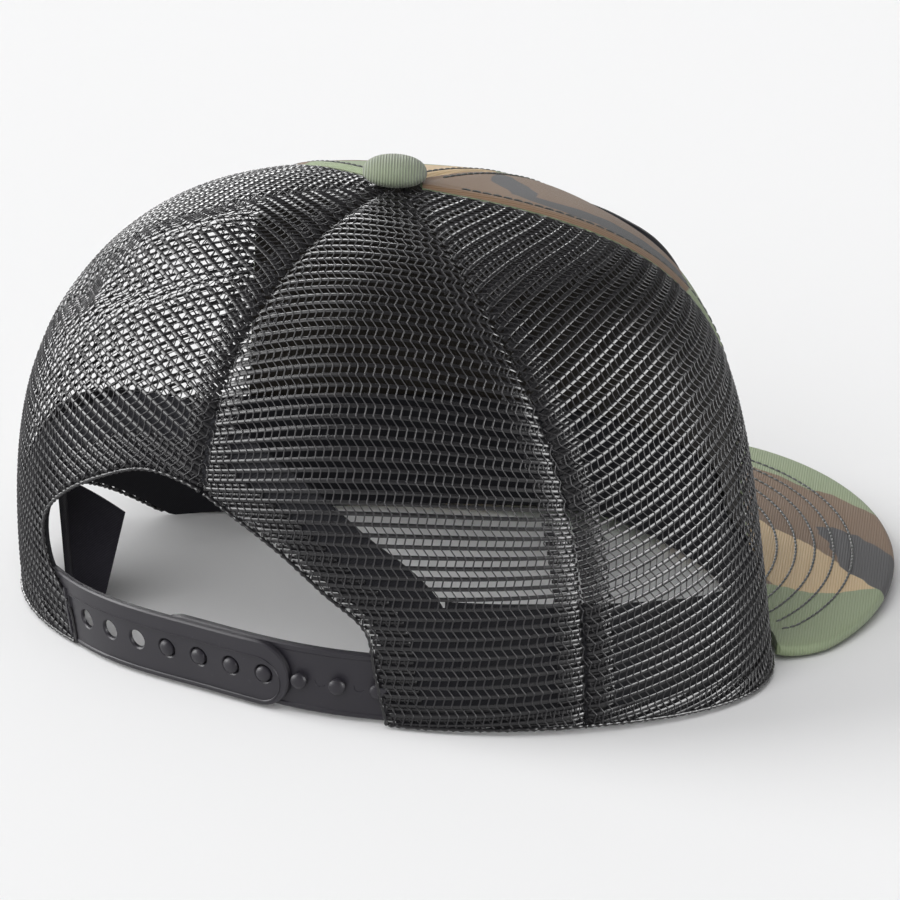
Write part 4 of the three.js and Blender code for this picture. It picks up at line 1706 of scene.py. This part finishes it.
@dataclass
class TopButton:
    """The covered button: a low dome with a tucked-in foot."""

    crown: Crown
    radius: float = 7.5
    height: float = 6.4
    foot: float = 2.5
    sunk: float = 2.4
    aside: float = 0.8
    back: float = 0.6

    def build(self) -> Shape:
        """A profile turned about the button's axis: radius follows a rounded arc that tucks
        in below the widest place, with faint gathers round the foot.

        Returns:
            The button.
        """
        bend = np.linspace(-0.95, math.pi / 2, 34)[:, None]
        turn = (np.arange(72) / 72 * 2 * math.pi)[None]
        out = np.abs(np.cos(bend)) ** 0.82
        rise = np.sign(np.sin(bend)) * np.abs(np.sin(bend)) ** 0.9
        z = self.foot + rise * np.where(bend < 0, self.foot / 0.82, self.height - self.foot)
        gather = 1 + 0.012 * np.sin(turn * 18) * np.clip(-bend, 0, 1)
        radius = np.maximum(out, 0.02) * self.radius * gather
        top = self.crown.height - self.sunk
        x = self.aside + radius * np.cos(turn)
        y = self.crown.top_back + self.back + radius * np.sin(turn)
        shape = Shape()
        shape.grid(np.stack([x, y, top + z * np.ones_like(x)], -1), wrap=True, caps=True)
        return shape


@dataclass
class Studio:
    """Camera, floor and lights."""

    shift: np.ndarray
    turn: float = 34.06
    tilt: float = 16.61
    distance: float = 1442.1
    focal_pixels: float = 6076.0
    aside: float = 5.374
    up: float = 39.457
    roll: float = 2.77
    picture: float = 900.0

    def camera(self) -> bpy.types.Object:
        """The photograph's camera: behind the cap, to the wearer's right, a little above.

        Returns:
            The camera.
        """
        turn, tilt, roll = (math.radians(a) for a in (self.turn, self.tilt, self.roll))
        ahead = Vector((math.sin(turn) * math.cos(tilt), -math.cos(turn) * math.cos(tilt), -math.sin(tilt)))
        right = Vector((-math.cos(turn), -math.sin(turn), 0))
        above = right.cross(ahead)
        place = right * self.aside + Vector((0, 0, self.up)) - ahead * self.distance + Vector(self.shift)
        data = bpy.data.cameras.new("camera")
        data.sensor_width = 36.0
        data.lens = 36.0 * self.focal_pixels / self.picture
        data.clip_start, data.clip_end = 0.05, 50
        made = bpy.data.objects.new("camera", data)
        turned_right = right * math.cos(roll) + above * math.sin(roll)
        turned_up = above * math.cos(roll) - right * math.sin(roll)
        axes = Matrix((turned_right, turned_up, -ahead)).transposed().to_4x4()
        made.matrix_world = Matrix.Translation(place * MM) @ axes
        bpy.context.scene.collection.objects.link(made)
        bpy.context.scene.camera = made
        return made

    def floor(self) -> bpy.types.Object:
        """A white floor, large enough to fill the view.

        Returns:
            The floor.
        """
        shader = Shader("floor_white", Roughness=0.9, Specular_IOR_Level=0.1)
        cloud = shader.noise(shader.place("Object"), 1.5, 2.0)
        shader.feed(Base_Color=shader.mix(cloud, rgba((0.83, 0.83, 0.835)), rgba((0.835, 0.835, 0.84))))
        mesh = bpy.data.meshes.new("floor")
        size = 6.0
        points = [(-size, -size, 0), (size, -size, 0), (size, size, 0), (-size, size, 0)]
        mesh.from_pydata(points, [], [(0, 1, 2, 3)])
        made = bpy.data.objects.new("floor", mesh)
        made.data.materials.append(shader.material)
        bpy.context.scene.collection.objects.link(made)
        return made

    def sun(
        self, name: str, turn: float, height: float, radiance: float, half: float, reach: Reach = Reach.ALL
    ) -> None:
        """A round softbox far away.

        Args:
            name: the light's name.
            turn: where it stands, in degrees from the wearer's front toward the right.
            height: its angle above the floor, in degrees.
            radiance: its brightness, where white paper in the studio is about 1.
            half: its angle from middle to rim, in degrees.
            reach: which rays it answers.
        """
        data = bpy.data.lights.new(name, "SUN")
        data.energy = radiance * math.pi * math.sin(math.radians(half)) ** 2
        data.angle = math.radians(half * 2)
        made = bpy.data.objects.new(name, data)
        made.visible_diffuse = reach is not Reach.GLOSS
        made.visible_glossy = reach is not Reach.MATT
        a, e = math.radians(turn), math.radians(height)
        toward = Vector((-math.sin(a) * math.cos(e), -math.cos(a) * math.cos(e), math.sin(e)))
        made.rotation_euler = toward.to_track_quat("Z", "Y").to_euler()
        bpy.context.scene.collection.objects.link(made)

    def lights(self) -> None:
        """A dim surround, a key softbox at the picture's left, soft light from above and from
        behind the camera, and softboxes low at both sides that only glossy faces show."""
        world = bpy.data.worlds.new("studio")
        world.use_nodes = True
        world.node_tree.nodes["Background"].inputs[0].default_value = (1, 1, 1, 1)
        world.node_tree.nodes["Background"].inputs[1].default_value = 0.21
        bpy.context.scene.world = world
        bpy.context.scene.view_settings.view_transform = "Standard"
        self.sun("key", 238.0, 30.0, 3.5, 25.0)
        self.sun("above", 200.0, 78.0, 0.3, 32.0, Reach.MATT)
        self.sun("back", 162.0, 32.0, 6.3, 22.0, Reach.MATT)
        self.sun("left_gloss", 236.0, 6.0, 9.0, 24.0, Reach.GLOSS)
        self.sun("left_back_gloss", 302.0, 16.0, 7.0, 24.0, Reach.GLOSS)
        self.sun("right_gloss", 70.0, 13.0, 13.0, 29.0, Reach.GLOSS)


PEAK_BLOTS = (
    Blot(Colour.BROWN, ((20, -126), (-8, -131.5), (-50, -123), (-80, -110), (-92, -84), (-60, -80), (0, -96))),
    Blot(
        Colour.SAND,
        (
            (-14, -101), (-28, -99.5), (-47, -92.5), (-69, -82),
            (-82.5, -73), (-73, -58.5), (-60, -57.5), (-16, -78),
        ),  # fmt: skip
    ),
    Blot(Colour.BROWN, ((-46, -65), (-57, -62.5), (-64, -58), (-58, -56.5), (-44, -58))),
    Blot(
        Colour.CHARCOAL,
        (
            (-48, -102), (-51, -104.5), (-60, -103.5), (-72, -97.5),
            (-96, -84), (-94, -66), (-69, -81.5), (-60, -89.5),
        ),  # fmt: skip
    ),
    Blot(Colour.BROWN, ((-84, -16), (-92, -16), (-100, -4), (-90, 0), (-84, -8))),
    Blot(Colour.BROWN, ((38, -124), (72, -100), (64, -82), (28, -92))),
    Blot(Colour.SAND, ((26, -84), (62, -76), (82, -50), (68, -38), (44, -54))),
    Blot(Colour.CHARCOAL, ((54, -99), (90, -78), (88, -60), (64, -76))),
    Blot(Colour.CHARCOAL, ((-2, -114), (22, -118), (32, -106), (6, -99))),
    Blot(Colour.BROWN, ((78, -32), (94, -36), (94, -8), (82, -14))),
)

FRONT_RIGHT_BLOTS = (
    Blot(
        Colour.BROWN,
        ((-30, 98), (-10, 90), (20, 92), (40, 98), (30, 128), (12, 162), (-14, 162), (-26, 138)),
    ),
    Blot(Colour.CHARCOAL, ((-18, 131.5), (-14, 128.5), (4, 130), (12, 133), (8, 138.5), (-6, 138))),
    Blot(Colour.CHARCOAL, ((5, 131), (22, 104), (28, 92), (34, 97), (27, 115), (17, 131), (8, 138.5))),
    Blot(Colour.SAND, ((-24, 138), (-14, 141), (-9, 150), (-7, 160), (-16, 160))),
    Blot(Colour.SAND, ((-42, 70), (-20, 60), (4, 66), (10, 78), (-10, 88), (-38, 86))),
    Blot(Colour.BROWN, ((8, 18), (40, 28), (46, 52), (24, 58), (4, 40))),
    Blot(Colour.CHARCOAL, ((-42, 28), (-16, 18), (-2, 32), (-14, 44), (-40, 42))),
    Blot(Colour.CHARCOAL, ((20, 72), (40, 62), (48, 70), (30, 86))),
)

FRONT_LEFT_BLOTS = (
    Blot(Colour.BROWN, ((-40, 96), (-6, 84), (14, 96), (10, 122), (-10, 134), (-34, 126))),
    Blot(Colour.SAND, ((4, 134), (22, 124), (26, 140), (14, 158), (6, 158))),
    Blot(Colour.CHARCOAL, ((-30, 112), (-8, 104), (8, 110), (0, 118), (-26, 124))),
    Blot(Colour.BROWN, ((6, 34), (30, 24), (46, 36), (40, 60), (18, 66))),
    Blot(Colour.SAND, ((-44, 44), (-18, 34), (2, 46), (-8, 64), (-40, 66))),
    Blot(Colour.CHARCOAL, ((-24, 12), (4, 6), (20, 14), (8, 24), (-20, 26))),
)


@dataclass
class Cap:
    """The whole cap, piece by piece."""

    crown: Crown
    shift: np.ndarray

    def gore(self, start: float, end: float, start_turn: float, end_turn: float) -> Gore:
        """A panel's flat pattern."""
        return Gore(self.crown, start, end, start_turn, end_turn)

    def panels(self, side: Side) -> tuple[Gore, Gore, Gore]:
        """The panels of one side, between their seams.

        Args:
            side: which side.

        Returns:
            The front, side and back panels.
        """
        c = self.crown
        if side is Side.RIGHT:
            return (
                self.gore(0, c.front_seam, 0, c.front_turn),
                self.gore(c.front_seam, c.side_seam, c.front_turn, c.side_turn),
                self.gore(c.side_seam, 180, c.side_turn, 0),
            )
        return (
            self.gore(-c.front_seam, 0, -c.front_turn, 0),
            self.gore(-c.side_seam, -c.front_seam, -c.side_turn, -c.front_turn),
            self.gore(-180, -c.side_seam, 0, -c.side_turn),
        )

    def netting(self) -> None:
        """The four netting panels."""
        finish = NetFinish().make()
        arch = self.crown.arch_path()
        for side in Side:
            _, flank, back = self.panels(side)
            word = side.name.lower()
            seed = 3 + side.value
            net = Netting(flank, grain=-12.0 * side.value, top_fold=0.68, seed=seed).build()
            made = net.piece(f"side_net_{word}", finish, "black_mesh", self.shift)
            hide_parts(f"side_mesh_{word}")
            grain, skew = (-1.5, 0.16) if side is Side.RIGHT else (12.0, 0.0)
            net = Netting(back, arch=arch, grain=grain, skew=skew, seed=seed + 5).build()
            made = net.piece(f"back_net_{word}", finish, "black_mesh", self.shift)
            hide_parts(f"back_mesh_{word}")

    def cloth(self) -> None:
        """The front panels, the peak, the patch and their stitches."""
        stitches = Stitches()
        for side in Side:
            front = ClothPanel(self.panels(side)[0])
            word = side.name.lower()
            blots = FRONT_RIGHT_BLOTS if side is Side.RIGHT else FRONT_LEFT_BLOTS
            finish = CamoTwill(f"camo_front_{word}", blots).make()
            made = front.build().piece(f"front_cloth_{word}", finish, "camo_cloth", self.shift, 40)
            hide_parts(f"front_panel_{word}")
            centre = -1 if side is Side.RIGHT else 1
            stitches.row(*front.seam_line(centre, 3.4, 0.01, 0.93))
            stitches.row(*front.seam_line(-centre, 3.4, 0.01, 0.93))
        peak = Peak(self.crown)
        finish = CamoTwill("camo_peak", PEAK_BLOTS).make()
        made = peak.build().piece("peak_cloth", finish, "camo_cloth", self.shift, 40)
        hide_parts("peak")
        peak.stitch_rows(stitches)
        stitches.shape.piece("stitches", Thread().make(), "camo_cloth", self.shift, 60)
        patch = FrontPatch(self.crown).build()
        made = patch.piece("plain_patch", WovenBlack("patch_cloth").make(), "black_cloth", self.shift, 40)
        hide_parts("front_patch")

    def inside(self) -> None:
        """The sweatband, the arch's tape and the label."""
        finish = WovenBlack().make()
        strip = InnerStrip(self.crown)
        made = strip.sweatband().piece("sweatband_cloth", finish, "black_cloth", self.shift, 40)
        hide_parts("sweatband")
        made = strip.tape().piece("arch_tape_cloth", finish, "black_cloth", self.shift, 40)
        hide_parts("arch_tape")
        label = WovenBlack("label_cloth", (0.016, 0.015, 0.019), 0.6).make()
        made = CareLabel().build().piece("label_leaves", label, "black_cloth", self.shift, 40)
        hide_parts("care_label")

    def fittings(self) -> None:
        """The button and the snap strap."""
        button = TopButton(self.crown).build()
        made = button.piece("ribbed_button", RibbedSage().make(), "sage_cloth", self.shift, 50)
        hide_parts("top_button")
        plastic = StrapPlastic().make()
        strap = SnapStrap(self.crown)
        made = strap.holes_half().piece("strap_holes_half", plastic, "strap_plastic", self.shift, 28)
        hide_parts("strap_with_holes")
        made = strap.studs_half().piece("strap_studs_half", plastic, "strap_plastic", self.shift, 28)
        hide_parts("strap_with_studs")


def corners(box: tuple[Vector, Vector]) -> list[list[float]]:
    """A box as plain lists of numbers."""
    return [[float(x) for x in corner] for corner in box]


def main() -> None:
    """Builds the scene."""
    logging.basicConfig(level=logging.INFO, format="%(name)s %(message)s", force=True)
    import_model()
    low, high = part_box("top_button")
    crown = Crown()
    centre = (low + high) / 2 / MM
    shift = np.array([0.0, centre.y - crown.top_back, low.z / MM - crown.height - 0.3])
    studio = Studio(shift)
    studio.camera()
    studio.floor()
    studio.lights()
    cap = Cap(crown, shift)
    for step in (cap.netting, cap.cloth, cap.inside, cap.fittings):
        step()
        LOG.info("%s done", step.__name__)


if __name__ == "__main__":
    main()
